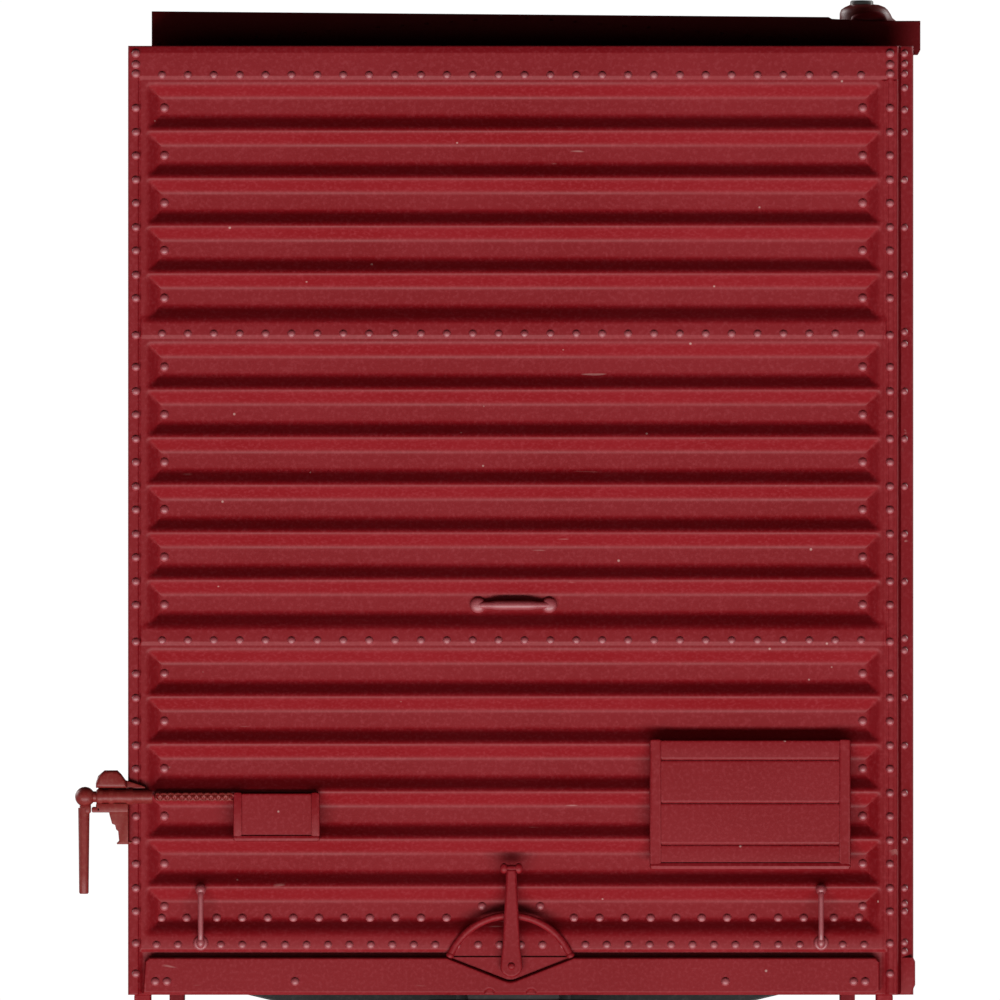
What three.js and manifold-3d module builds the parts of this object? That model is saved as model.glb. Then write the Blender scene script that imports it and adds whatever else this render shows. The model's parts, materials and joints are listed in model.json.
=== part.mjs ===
// HO scale (1:87.1) steel box car: pressed ends, sliding doors, swivelling trucks, working couplers.
// Millimetres. +Z is up and the car runs along Y. The origin is midway along the car, at the level of
// the wheel flanges, where it stands on a table. The plain end, end A, faces -Y; the hand brake is on
// end B. End pieces are drawn for end A and side pieces for the -X side; half a turn about Z gives the
// others, so "left" is -X and "right" is +X.
import * as THREE from "three";
import { mergeVertices } from "three/addons/utils/BufferGeometryUtils.js";
import { ConvexGeometry } from "three/addons/geometries/ConvexGeometry.js";
import Module from "manifold-3d";

const wasm = await Module();
wasm.setup();

// ---- driving dimensions ----
const fit = 0.05; // gap left between two pieces that are glued face to face
const running = 0.1; // gap left round a piece that moves

const treadRadius = 4.8; // 33 inch wheel
const flangeDepth = 0.64;
const axleHeight = treadRadius + flangeDepth;
const backToBack = 14.5; // over the inner faces of a wheelset, for 16.5 mm gauge
const truckCentre = 71.5; // truck pivots either side of the middle of the car
const wheelbase = 19.3;

const endFace = -90; // ridges of the end panel
const panelBack = endFace + 1.4;
const panelHalf = 17.35;
const sill = 12.44; // bottom edge of the end panel
const panelHeight = 42.66;
const panelTop = sill + panelHeight;

const sideFace = 16.5; // outer face of the side sheets
const sideThick = 1.1;
const sideBottom = sill + fit;
const sideTop = panelTop - 0.65;
const sideEnd = -panelBack - fit;
const doorwayHalf = 17.5;
const doorwayBottom = sill + 1.96;
const doorwayTop = doorwayBottom + 37;
const doorHalf = doorwayHalf + 0.9;
const doorTravel = 36;
const doorInner = sideFace + 0.22;
const doorOuter = sideFace + 0.78;
const trackOuter = sideFace + 0.8;

const floorBottom = sill + 0.96;
const floorTop = floorBottom + 1;
const couplerHeight = 10.56; // centre of the coupler above the flanges
const couplerPivot = -83.3;

// ---- materials ----
function plastic(colour, roughness) {
  return new THREE.MeshStandardMaterial({ color: colour, roughness, metalness: 0 });
}
function metal(colour, roughness) {
  return new THREE.MeshStandardMaterial({ color: colour, roughness, metalness: 0.9 });
}
const maroon = plastic(0x842830, 0.45);
const brown = plastic(0x81403a, 0.5);
const black = plastic(0x1d1b1b, 0.55);
const blackened = metal(0x3a3836, 0.4);
const steel = metal(0x9b9a97, 0.3);

// ---- shapes ----
function block(x0, x1, y0, y1, z0, z1) {
  const geometry = new THREE.BoxGeometry(x1 - x0, y1 - y0, z1 - z0);
  return geometry.translate((x0 + x1) / 2, (y0 + y1) / 2, (z0 + z1) / 2);
}

function hull(points) {
  return new ConvexGeometry(points.map(([x, y, z]) => new THREE.Vector3(x, y, z)));
}

function outline(points) {
  return new THREE.Shape(points.map(([a, b]) => new THREE.Vector2(a, b)));
}

// An outline in plan (x, y), from one height to another.
function prismZ(points, z0, z1) {
  const geometry = new THREE.ExtrudeGeometry(outline(points), { depth: z1 - z0, bevelEnabled: false });
  return geometry.translate(0, 0, z0);
}

// An outline seen from an end (x, z), from y0 to y1.
function prismY(points, y0, y1) {
  const geometry = new THREE.ExtrudeGeometry(outline(points), { depth: y1 - y0, bevelEnabled: false });
  return geometry.rotateX(Math.PI / 2).translate(0, y1, 0);
}

// An outline seen from a side (y, z), from x0 to x1.
function prismX(points, x0, x1, windows = []) {
  const shape = outline(points);
  for (const window of windows) {
    shape.holes.push(outline(window));
  }
  const geometry = new THREE.ExtrudeGeometry(shape, { depth: x1 - x0, bevelEnabled: false });
  const axes = new THREE.Matrix4().makeBasis(
    new THREE.Vector3(0, 1, 0),
    new THREE.Vector3(0, 0, 1),
    new THREE.Vector3(1, 0, 0),
  );
  return geometry.applyMatrix4(axes).translate(x0, 0, 0);
}

// A round bar between two points.
function bar(radius, from, to, sides = 12) {
  const start = new THREE.Vector3(...from);
  const end = new THREE.Vector3(...to);
  const along = end.clone().sub(start);
  const geometry = new THREE.CylinderGeometry(radius, radius, along.length(), sides);
  const turn = new THREE.Quaternion().setFromUnitVectors(new THREE.Vector3(0, 1, 0), along.normalize());
  geometry.applyQuaternion(turn);
  const middle = start.add(end).multiplyScalar(0.5);
  return geometry.translate(middle.x, middle.y, middle.z);
}

// Points round part of a circle in the (x, z) plane, from angle a to angle b.
function arc(x, z, radius, a, b, steps) {
  return Array.from({ length: steps + 1 }, (_, i) => {
    const angle = a + ((b - a) * i) / steps;
    return [x + radius * Math.cos(angle), z + radius * Math.sin(angle)];
  });
}

function solidOf(geometry) {
  const bare = geometry.clone();
  bare.deleteAttribute("normal");
  bare.deleteAttribute("uv");
  const merged = mergeVertices(bare);
  return new wasm.Manifold(
    new wasm.Mesh({
      numProp: 3,
      vertProperties: new Float32Array(merged.attributes.position.array),
      triVerts: new Uint32Array(merged.index.array),
    }),
  );
}

// Joins the first list of geometries and cuts the second list out of them.
function carve(joined, cut = []) {
  let solid = solidOf(joined[0]);
  for (const geometry of joined.slice(1)) {
    solid = solid.add(solidOf(geometry));
  }
  for (const geometry of cut) {
    solid = solid.subtract(solidOf(geometry));
  }
  const mesh = solid.getMesh();
  const geometry = new THREE.BufferGeometry();
  geometry.setAttribute("position", new THREE.BufferAttribute(mesh.vertProperties, 3));
  geometry.setIndex(new THREE.BufferAttribute(mesh.triVerts, 1));
  geometry.computeVertexNormals();
  return geometry;
}

function revolve(profile, sides) {
  return new THREE.LatheGeometry(profile.map(([r, a]) => new THREE.Vector2(r, a)), sides);
}

// ---- end panel ----
const ribGroups = [5, 6, 6];
const ribPitch = 2.14;
const groupGap = 0.96; // extra height of the riveted lap between two groups of ribs
const topStrip = 1.66; // flat strip above the first pocket
const pocketHeight = 2.0;
const pocketDepth = 0.56;
const pocketHalf = 16.49;

function pocketTops() {
  const tops = [];
  let top = panelTop - topStrip;
  for (const count of ribGroups) {
    for (let i = 0; i < count; i += 1) {
      tops.push(top);
      top -= ribPitch;
    }
    top -= groupGap;
  }
  return tops;
}

// A pocket pressed between two ridges, with 45 degree flanks and hipped ends.
function pocketCutter(top) {
  const over = 0.05;
  const ring = (grow, y) => [
    [-pocketHalf - grow, y, top + grow],
    [pocketHalf + grow, y, top + grow],
    [pocketHalf + grow, y, top - pocketHeight - grow],
    [-pocketHalf - grow, y, top - pocketHeight - grow],
  ];
  return hull([...ring(over, endFace - over), ...ring(-pocketDepth, endFace + pocketDepth)]);
}

const sillPlateFace = endFace - 0.3;
const sillPlateTop = sill + 1.66;

// The V-shaped plate below the uncoupling lever, drawn from its left shoulder to its right one. The
// sill plate is notched to match, with a margin all round.
const plateV = { x: -0.15, half: 2.8, tipHalf: 0.35, tip: sill + 0.65 };

function veeOutline(margin, top) {
  return [
    [plateV.x - plateV.half - margin, top],
    [plateV.x - plateV.tipHalf - margin / 2, plateV.tip - margin],
    [plateV.x + plateV.tipHalf + margin / 2, plateV.tip - margin],
    [plateV.x + plateV.half + margin, top],
  ];
}

// A plate across the foot of the panel, with clipped upper corners and two half-round holes below.
function sillPlate() {
  const half = 16.56;
  const corner = 0.4;
  const outlinePoints = [
    [-half, sill + fit],
    [half, sill + fit],
    [half, sillPlateTop - corner],
    [half - corner, sillPlateTop],
    ...veeOutline(fit, sillPlateTop).reverse(),
    [-half + corner, sillPlateTop],
    [-half, sillPlateTop - corner],
  ];
  const holes = [-0.94, 0.94].map((x) =>
    bar(0.2, [plateV.x + x, sillPlateFace - fit, sill + fit], [plateV.x + x, endFace, sill + fit], 10),
  );
  return carve([prismY(outlinePoints, sillPlateFace, endFace + fit)], holes);
}

function endPanel() {
  const sheet = block(-panelHalf, panelHalf, endFace, panelBack, sill, panelTop);
  const flangeOuter = panelHalf + 0.66;
  const flangeFace = endFace + 0.25;
  const cornerFlange = block(panelHalf - fit, flangeOuter, flangeFace, panelBack, sill, panelTop - 0.12);
  const lip = prismX(
    [
      [endFace - fit, panelTop + fit],
      [endFace - fit, panelTop - 0.25],
      [endFace, panelTop - 0.25],
      [endFace + 0.25, panelTop + fit],
    ],
    -panelHalf - 1,
    panelHalf + 1,
  );
  return carve([sheet, sillPlate(), cornerFlange], [...pocketTops().map(pocketCutter), lip]);
}

// ---- fittings on end A ----
const onRidges = endFace - 0.02; // back of anything fixed to the ridges

// A timber board in a metal frame that is open at the top.
function framedBoard(x0, x1, height0, height1, post, ledge) {
  const z0 = sill + height0;
  const z1 = sill + height1;
  const board = block(x0 + post / 2, x1 - post / 2, onRidges - 0.32, onRidges, z0 + ledge / 2, z1 - 0.04);
  const frameFace = onRidges - 0.55;
  return carve([
    board,
    block(x0, x0 + post, frameFace, onRidges, z0, z1),
    block(x1 - post, x1, frameFace, onRidges, z0, z1),
    block(x0, x1, frameFace, onRidges, z0, z0 + ledge),
  ]);
}

function tackBoard() {
  return framedBoard(6.12, 15.17, 5.62, 11.52, 0.54, 0.36);
}

function routingBoard() {
  return framedBoard(-12.62, -8.71, 6.9, 9.13, 0.43, 0.3);
}

// Short horizontal grab in the middle of the eleventh pocket.
function middleGrab() {
  const z = sill + 17.53;
  const floor = endFace + pocketDepth - 0.02;
  const face = endFace - 0.25;
  const half = 0.22;
  const inner = 0.8;
  const eye = 1.6;
  const bridge = block(-inner - 0.05, inner + 0.05, face, face + 0.3, z - half, z + half);
  const legs = [-1, 1].map((side) =>
    hull([
      [side * inner, face, z - half],
      [side * inner, face, z + half],
      [side * inner, face + 0.3, z - half],
      [side * inner, face + 0.3, z + half],
      [side * eye, floor - 0.3, z - half],
      [side * eye, floor - 0.3, z + half],
      [side * eye, floor, z - half],
      [side * eye, floor, z + half],
    ]),
  );
  const eyes = [-1, 1].map((side) => bar(0.36, [side * eye, floor - 0.3, z], [side * eye, floor, z]));
  return carve([bridge, ...legs, ...eyes]);
}

// Upright grab beside a lower corner: boss at the top, round bar, flared foot.
function cornerGrab(x) {
  const face = onRidges - 0.5;
  return carve([
    block(x - 0.26, x + 0.26, face, onRidges, sill + 4.46, sill + 5),
    bar(0.13, [x, face + 0.16, sill + 2.3], [x, face + 0.16, sill + 4.6], 8),
    block(x - 0.36, x + 0.36, face, onRidges, sill + 2.02, sill + 2.6),
  ]);
}

// ---- uncoupling lever and its quadrant, on the middle of the sill ----
const leverPivot = { x: -0.1, z: sill + 1.29 };
const quadrantFace = endFace - 0.14;

function quadrant() {
  const centre = { x: plateV.x, z: sill + 0.63 };
  const outer = 3.1;
  const inner = outer - 0.32;
  const spread = 1.19;
  const from = Math.PI / 2 - spread;
  const to = Math.PI / 2 + spread;
  const rimOutline = [
    ...arc(centre.x, centre.z, outer, from, to, 14),
    ...arc(centre.x, centre.z, inner, to, from, 14),
  ];
  const rim = prismY(rimOutline, quadrantFace, onRidges);
  const plate = prismY(veeOutline(0, sillPlateTop + 0.08), quadrantFace, onRidges);
  const { x, z } = leverPivot;
  const pinHole = bar(0.22, [x, quadrantFace - fit, z], [x, endFace, z]);
  return carve([rim, plate], [pinHole]);
}

// The lever stands upright in front of the quadrant and swings on a pin in the V-shaped plate.
function uncouplingLever() {
  const { x, z } = leverPivot;
  const back = quadrantFace - running / 2;
  const face = back - 0.28;
  const headMiddle = sill + 5.85;
  const headHalf = 0.52;
  const footHalf = 0.4;
  const neckHalf = 0.23;
  const shoulder = z + 0.9;
  const stemOutline = [
    ...arc(x, z, 0.56, Math.PI, 2 * Math.PI, 8),
    [x + footHalf, shoulder],
    [x + neckHalf, headMiddle],
    [x - neckHalf, headMiddle],
    [x - footHalf, shoulder],
  ];
  const headOutline = [
    [back, headMiddle - 0.25],
    [back, headMiddle + 0.25],
    [back - 0.15, headMiddle + 0.36],
    [face, headMiddle + 0.25],
    [face - 0.1, headMiddle],
    [face, headMiddle - 0.25],
    [back - 0.15, headMiddle - 0.36],
  ];
  const stem = prismY(stemOutline, face, back);
  const head = prismX(headOutline, x - headHalf, x + headHalf);
  const pin = bar(0.14, [x, back - 0.1, z], [x, endFace - 0.04, z]);
  return carve([stem, head, pin]);
}

// ---- corner crank: a shaft across the left corner, turned by a hanging handle ----
const crank = { y: endFace - 0.36, z: sill + 8.92, radius: 0.25 };
const handleX = -19.33;

// A lug over the shaft, a shoe under it and a toothed web down the corner post, joined behind.
function crankBracket() {
  const outer = -18.79;
  const inner = -panelHalf - 0.04;
  const back = endFace + 1;
  const bearing = crank.radius + running;
  const foot = crank.z - 2.05;
  const rear = block(outer + 0.1, inner, crank.y + bearing, back, crank.z - 0.73, crank.z + 0.7);
  const lug = hull(
    [crank.y - 0.35, back].flatMap((y) => [
      [outer, y, crank.z + bearing],
      [outer + 0.1, y, crank.z + 0.8],
      [outer + 0.4, y, crank.z + 1.2],
      [inner - 0.4, y, crank.z + 1.2],
      [inner, y, crank.z + 0.75],
      [inner, y, crank.z + bearing],
    ]),
  );
  const wedgeOutline = [
    [inner - 0.1, crank.z + 0.38],
    [inner + 0.85, crank.z + 0.42],
    [inner - 0.1, crank.z + 0.75],
  ];
  const wedge = prismY(wedgeOutline, crank.y, endFace - 0.12);
  const shoe = block(outer, inner - 0.1, crank.y - 0.2, back, crank.z - 0.73, crank.z - bearing);
  const teeth = [0, 1, 2].flatMap((i) => {
    const x = outer + 0.55 + i * 0.22;
    const z = crank.z - 0.8 - i * 0.4;
    return [
      [x, z],
      [x + 0.06, z - 0.34],
    ];
  });
  const webTop = crank.z - 0.5;
  const heel = [[inner - 0.25, foot], [inner, foot], [inner, webTop], [outer + 0.5, webTop]];
  const web = prismY([...heel, ...teeth], crank.y - 0.1, back);
  return carve([rear, lug, wedge, shoe, web]);
}

function crankHandle() {
  const shaft = bar(crank.radius, [-19.3, crank.y, crank.z], [-16.3, crank.y, crank.z]);
  const knob = new THREE.SphereGeometry(0.45, 10, 6).translate(handleX + 0.05, crank.y, crank.z);
  const collar = block(handleX - 0.2, -18.87, crank.y - 0.22, crank.y + 0.22, crank.z - 0.72, crank.z);
  const grip = hull(
    [crank.y - 0.2, crank.y + 0.2].flatMap((y) => [
      [handleX - 0.26, y, crank.z - 0.3],
      [handleX + 0.26, y, crank.z - 0.3],
      [handleX + 0.2, y, crank.z - 4.37],
      [handleX - 0.24, y, crank.z - 4.37],
    ]),
  );
  return carve([shaft, knob, collar, grip]);
}

// Chain from the crank shaft to the routing board, drawn as overlapping oval links.
function crankChain() {
  const from = -15.9;
  const to = -12.85;
  const links = 6;
  const pitch = (to - from) / (links - 1);
  const pieces = Array.from({ length: links }, (_, i) => {
    const link = new THREE.SphereGeometry(0.2, 6, 4).scale(i % 2 ? 2 : 1.7, 0.9, i % 2 ? 0.75 : 1);
    return link.translate(from + i * pitch, onRidges - 0.2, crank.z + 0.05);
  });
  return carve(pieces);
}

// ---- hand brake, on end B ----
const brake = { x: -6.5, z: sill + 12.5, radius: 3.1 };
const housingFace = endFace - 1.3;

function brakeHousing() {
  const half = 1.4;
  const low = brake.z - 1.9;
  const high = brake.z + 1.6;
  const corners = (inset, y) => [
    [brake.x - half + inset, y, low + inset],
    [brake.x + half - inset, y, low + inset],
    [brake.x - half + inset, y, high - inset],
    [brake.x + half - inset, y, high - inset],
  ];
  const body = hull([...corners(0, onRidges), ...corners(0.35, housingFace)]);
  const socket = bar(0.4, [brake.x, housingFace - 1, brake.z], [brake.x, housingFace + 0.6, brake.z]);
  return carve([body], [socket]);
}

function brakeWheel() {
  const face = housingFace - 0.9;
  const back = face + 0.4;
  const { x, z, radius } = brake;
  const disc = bar(radius, [x, face, z], [x, back, z], 20);
  const gap = bar(radius - 0.42, [x, face - 1, z], [x, back + 1, z], 20);
  const rim = carve([disc], [gap]);
  const hub = bar(0.6, [x, face - 0.1, z], [x, back + 0.1, z]);
  const shaft = bar(0.3, [x, back, z], [x, housingFace + 0.5, z]);
  const spokes = [0, 1, 2, 3, 4].map((i) => {
    const angle = Math.PI / 2 + (i * 2 * Math.PI) / 5;
    const reach = radius - 0.2;
    const middle = (face + back) / 2;
    return bar(0.16, [x, middle, z], [x + reach * Math.cos(angle), middle, z + reach * Math.sin(angle)], 6);
  });
  return carve([rim, hub, shaft, ...spokes]);
}

function brakePlatform() {
  const top = brake.z - 5.6;
  const reach = endFace - 3.1;
  const half = 2.9;
  const deck = block(brake.x - half, brake.x + half, reach, onRidges, top - 0.3, top);
  const brackets = [-1, 1].map((side) => {
    const x = brake.x + side * (half - 0.6);
    const profile = [
      [onRidges, top - 0.25],
      [reach + 0.5, top - 0.25],
      [onRidges - 0.5, top - 1.9],
      [onRidges, top - 1.9],
    ];
    return prismX(profile, x - 0.2, x + 0.2);
  });
  return carve([deck, ...brackets]);
}

// ---- sides, doors and roof ----
const seamSpacing = 9;
const seamCount = 7;

function sidePanel() {
  const inner = -sideFace + sideThick;
  const rail = -sideFace - 0.4;
  const sheet = block(-sideFace, inner, -sideEnd, sideEnd, sideBottom, sideTop);
  const seams = [-1, 1].flatMap((end) =>
    Array.from({ length: seamCount + 1 }, (_, i) => {
      const y = end * (doorwayHalf + 0.45 + i * seamSpacing);
      return block(-sideFace - 0.12, inner - 0.2, y - 0.45, y + 0.45, sideBottom, sideTop);
    }),
  );
  const bottomRail = block(rail, -sideFace + 0.1, -sideEnd, sideEnd, sideBottom, sideBottom + 1.4);
  const topRail = block(rail, -sideFace + 0.1, -sideEnd, sideEnd, sideTop - 1.05, sideTop);
  const hoodBottom = doorwayTop + 0.5;
  const hood = prismX(
    [
      [-doorHalf - doorTravel - 1, hoodBottom],
      [doorHalf + 1, hoodBottom],
      [doorHalf + 1, hoodBottom + 0.5],
      [-doorHalf - doorTravel - 1, hoodBottom + 0.5],
    ],
    -trackOuter,
    -sideFace + 0.1,
  );
  const doorway = block(rail - 1, inner + 1, -doorwayHalf, doorwayHalf, doorwayBottom, doorwayTop);
  return carve([sheet, ...seams, bottomRail, topRail, hood], [doorway]);
}

function doorTrack() {
  const top = doorwayBottom - 0.06;
  const y0 = -doorHalf - doorTravel - 1;
  const y1 = doorHalf + 1;
  const ledge = block(-trackOuter, -sideFace - 0.14, y0, y1, top - 0.36, top);
  const stops = [y0, y1 - 0.4].map((y) => block(-trackOuter, -doorInner, y, y + 0.4, top - 0.1, top + 0.7));
  return carve([ledge, ...stops]);
}

// Sliding door: a flat sheet, a raised frame and three groups of pressed ribs.
function slidingDoor() {
  const z0 = doorwayBottom;
  const z1 = doorwayTop + 0.4;
  const sheetFace = -doorInner - 0.26;
  const sheet = block(sheetFace, -doorInner, -doorHalf, doorHalf, z0, z1);
  const border = 1;
  const frame = [
    block(-doorOuter, -doorInner, -doorHalf, -doorHalf + border, z0, z1),
    block(-doorOuter, -doorInner, doorHalf - border, doorHalf, z0, z1),
    block(-doorOuter, -doorInner, -doorHalf, doorHalf, z0, z0 + border),
    block(-doorOuter, -doorInner, -doorHalf, doorHalf, z1 - border, z1),
  ];
  const groups = 3;
  const groupHeight = (z1 - z0 - 2 * border) / groups;
  const ribsInGroup = 5;
  const pitch = groupHeight / (ribsInGroup + 0.5);
  const rib = 0.55;
  const ribs = [];
  for (let group = 0; group < groups; group += 1) {
    for (let i = 0; i < ribsInGroup; i += 1) {
      const z = z0 + border + group * groupHeight + pitch * (i + 0.75);
      const y = doorHalf - border - 0.7;
      ribs.push(
        hull([
          ...[-1, 1].flatMap((end) => [
            [sheetFace + 0.02, end * y, z - rib],
            [sheetFace + 0.02, end * y, z + rib],
            [-doorOuter + 0.04, end * (y - rib), z - rib / 3],
            [-doorOuter + 0.04, end * (y - rib), z + rib / 3],
          ]),
        ]),
      );
    }
  }
  return carve([sheet, ...frame, ...ribs]);
}

const roofDeck = panelTop - 0.15;
const roofEnd = 84.3;

function roof() {
  const half = sideFace - 0.1;
  const slab = block(-half, half, -sideEnd, sideEnd, sideTop + fit, roofDeck);
  const ridge = roofDeck + 1.3;
  const gable = (rise) => [
    [-half, roofDeck - 0.1],
    [half, roofDeck - 0.1],
    [half, roofDeck + 0.05 + rise],
    [0, ridge + rise],
    [-half, roofDeck + 0.05 + rise],
  ];
  const deck = prismY(gable(0), -roofEnd, roofEnd);
  const ribCount = 12;
  const pitch = (2 * roofEnd - 3) / (ribCount - 1);
  const ribs = Array.from({ length: ribCount }, (_, i) => {
    const y = -roofEnd + 1.5 + i * pitch;
    return prismY(gable(0.2), y - 0.55, y + 0.55);
  });
  return carve([slab, deck, ...ribs]);
}

// The cross channel that closes the roof at an end. Its right end is turned down over the corner.
const channelFace = endFace + 2.6;
const channelRight = panelTop + 1.12;

function roofChannel() {
  const left = -16.31;
  const right = 18.34;
  const under = roofDeck + fit;
  return prismY(
    [
      [left, under],
      [right - 0.29, under],
      [right - 0.29, panelTop - 0.3],
      [right - 0.1, panelTop - 0.3],
      [right, panelTop - 0.1],
      [right, channelRight],
      [14.7, channelRight],
      [14.2, panelTop + 1.24],
      [left, panelTop + 1.46],
    ],
    channelFace,
    -roofEnd - 0.1,
  );
}

function roofCap() {
  const base = channelRight + 0.03;
  const profile = [
    [0, base],
    [1.27, base],
    [1.24, base + 0.2],
    [1.05, base + 0.62],
    [0.72, base + 0.83],
    [0.5, base + 0.83],
    [0.48, base + 1.02],
    [0, base + 1.02],
  ];
  const cap = revolve(profile, 16).rotateX(Math.PI / 2);
  return cap.translate(15.98, channelFace + 1.45, 0);
}

// ---- ladders and steps, near each end of each side ----
const ladderY = 85.6;
const ladderHalf = 2.2;

function ladder(y) {
  const face = -sideFace - 0.78;
  const back = -sideFace - 0.2;
  const z0 = sill + 2.4;
  const z1 = z0 + 14.4;
  const stile = 0.42;
  const stiles = [-1, 1].flatMap((side) => {
    const edge = y + side * ladderHalf;
    const feet = [z0 + 0.6, z1 - 0.6].map((z) =>
      block(back - 0.1, -sideFace - 0.13, edge - stile / 2, edge + stile / 2, z - 0.4, z + 0.4),
    );
    return [block(face, back, edge - stile / 2, edge + stile / 2, z0, z1), ...feet];
  });
  const rungs = [0, 1, 2, 3, 4].map((i) => {
    const z = z0 + 1.2 + i * 3;
    return block(face + 0.1, face + 0.42, y - ladderHalf, y + ladderHalf, z - 0.16, z + 0.16);
  });
  return carve([...stiles, ...rungs]);
}

function sillStep(y) {
  const strap = 0.35;
  const top = sideBottom - fit;
  const bottom = top - 5;
  const half = ladderHalf - 0.3;
  return carve([
    block(-17.1, -16.35, y - half, y - half + strap, bottom, top),
    block(-17.1, -16.35, y + half - strap, y + half, bottom, top),
    block(-17.1, -16.35, y - half, y + half, bottom, bottom + strap),
  ]);
}

// ---- underframe ----
const bossBottom = 8.95;
const bolsterBottom = sill + 0.08;

function floorPlate() {
  const half = sideFace - sideThick - 0.1;
  return block(-half, half, -sideEnd, sideEnd, floorBottom, floorTop);
}

function underframe() {
  const top = floorBottom - fit;
  const sillHalf = 2.1;
  const shallow = block(-sillHalf, sillHalf, -80.3, 80.3, 9.9, top);
  const belly = prismX(
    [
      [-55, 9.95],
      [-50, 8.1],
      [50, 8.1],
      [55, 9.95],
    ],
    -sillHalf,
    sillHalf,
  );
  const reach = sideFace - sideThick - 0.2;
  const crossbearers = [-45, -21, 21, 45].map((y) =>
    prismY(
      [
        [-reach, bolsterBottom],
        [-sillHalf, 9.4],
        [sillHalf, 9.4],
        [reach, bolsterBottom],
        [reach, top],
        [-reach, top],
      ],
      y - 0.45,
      y + 0.45,
    ),
  );
  const bolsters = [-truckCentre, truckCentre].flatMap((y) => [
    block(-reach, reach, y - 2.2, y + 2.2, bolsterBottom, top),
    bar(2.6, [0, y, bossBottom], [0, y, top], 16),
  ]);
  const holes = [-truckCentre, truckCentre].map((y) => bar(1.25, [0, y, 5], [0, y, 11], 12));
  return carve([shallow, belly, ...crossbearers, ...bolsters], holes);
}

function kingpin(y) {
  const head = 4.3;
  const profile = [
    [0, head],
    [1.7, head],
    [1.95, head + 0.2],
    [1.95, head + 0.65],
    [1.1, head + 0.65],
    [1.1, 10.8],
    [0, 10.8],
  ];
  return revolve(profile, 12).rotateX(Math.PI / 2).translate(0, y, 0);
}

function weight() {
  return block(-13.5, 13.5, -65, 65, floorTop + fit, floorTop + fit + 1);
}

function brakeCylinder() {
  const z = 10.1;
  const barrel = revolve(
    [
      [0, -4.2],
      [0.35, -4.2],
      [0.35, -3],
      [1.5, -2.7],
      [1.75, -2.6],
      [1.75, -2.1],
      [1.5, -2],
      [1.5, 2.1],
      [1.1, 2.6],
      [0, 2.6],
    ],
    14,
  ).translate(-7.6, 0, z);
  const saddle = block(-8.4, -6.8, -1.4, 1.4, z, floorBottom - fit);
  return carve([barrel.translate(0, 8, 0), saddle.translate(0, 8, 0)]);
}

function airReservoir() {
  const z = 10.1;
  const tank = revolve(
    [
      [0, -6.2],
      [1.1, -5.9],
      [1.7, -5.1],
      [1.7, 5.1],
      [1.1, 5.9],
      [0, 6.2],
    ],
    14,
  ).translate(7.4, 0, z);
  const straps = [-3.4, 3.4].map((y) => block(6.4, 8.4, y - 0.4, y + 0.4, z, floorBottom - fit));
  return carve([tank, ...straps]);
}

function controlValve() {
  const z = 9.5;
  return carve([
    block(-8.6, -5.9, -8.6, -6.4, z, z + 2.6),
    block(-8.1, -6.4, -9.6, -5.4, z + 0.5, z + 1.7),
    block(-7.8, -6.7, -8, -7, z + 2.5, floorBottom - fit),
  ]);
}

// ---- trucks ----
const frameInner = 11.8;
const frameOuter = 13.6;
const bearingReach = 13;

function truckFrame() {
  const side = (x0, x1) => {
    const profile = [
      [-11.9, 3.8],
      [-7.7, 3.6],
      [-4.4, 1.9],
      [4.4, 1.9],
      [7.7, 3.6],
      [11.9, 3.8],
      [11.9, 7.2],
      [8.4, 7.5],
      [4.6, 9.3],
      [-4.6, 9.3],
      [-8.4, 7.5],
      [-11.9, 7.2],
    ];
    const windows = [-1, 1].map((end) => [
      [end * 3.9, 3.1],
      [end * 6.3, 4.5],
      [end * 6.5, 6.5],
      [end * 3.9, 7.9],
    ]);
    windows.push([[-2.7, 2.9], [2.7, 2.9], [2.7, 7.9], [-2.7, 7.9]]);
    return prismX(profile, x0, x1, windows);
  };
  const journals = [-1, 1].flatMap((end) =>
    [-1, 1].map((hand) => {
      const y = (end * wheelbase) / 2;
      return block(
        Math.min(hand * (frameOuter - 0.2), hand * (frameOuter + 0.55)),
        Math.max(hand * (frameOuter - 0.2), hand * (frameOuter + 0.55)),
        y - 1.35,
        y + 1.35,
        axleHeight - 1.4,
        axleHeight + 1.5,
      );
    }),
  );
  const bolster = block(-frameOuter + 0.2, frameOuter - 0.2, -2.35, 2.35, 5.4, 8.1);
  const seat = bar(3, [0, 0, 6], [0, 0, bossBottom - running], 16);
  const springs = [-1, 1].flatMap((hand) =>
    [-1.2, 1.2].map((y) => bar(0.9, [hand * 12.7, y, 2.7], [hand * 12.7, y, 5.6], 8)),
  );
  const pinHole = bar(1.25, [0, 0, 0], [0, 0, 12], 12);
  const bearings = [-1, 1].flatMap((end) =>
    [-1, 1].map((hand) => {
      const y = (end * wheelbase) / 2;
      return bar(0.95, [hand * (frameInner - 1), y, axleHeight], [hand * bearingReach, y, axleHeight], 10);
    }),
  );
  const sides = [side(-frameOuter, -frameInner), side(frameInner, frameOuter)];
  return carve([bolster, seat, ...sides, ...journals, ...springs], [pinHole, ...bearings]);
}

// Two wheels pressed on one axle, with pointed ends, drawn about Y and laid along X.
function wheelset() {
  const inner = backToBack / 2;
  const outer = inner + 2.8;
  const half = [
    [0, bearingReach - 0.1],
    [0.6, bearingReach - 0.7],
    [0.75, outer + 0.1],
    [1.35, outer + 0.1],
    [1.6, outer - 0.7],
    [3.8, outer - 0.7],
    [4, outer],
    [treadRadius - 0.05, outer],
    [treadRadius + 0.05, inner + 0.8],
    [treadRadius + flangeDepth, inner + 0.35],
    [treadRadius + 0.3, inner],
    [1.05, inner],
  ];
  const profile = [...half.map(([r, a]) => [r, -a]), ...half.reverse()];
  return revolve(profile, 16).rotateZ(Math.PI / 2);
}

// ---- couplers, drawn from the pivot outwards ----
const knuckle = { x: -1.5, y: couplerPivot - 10.9, height: 1.45 };

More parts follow.
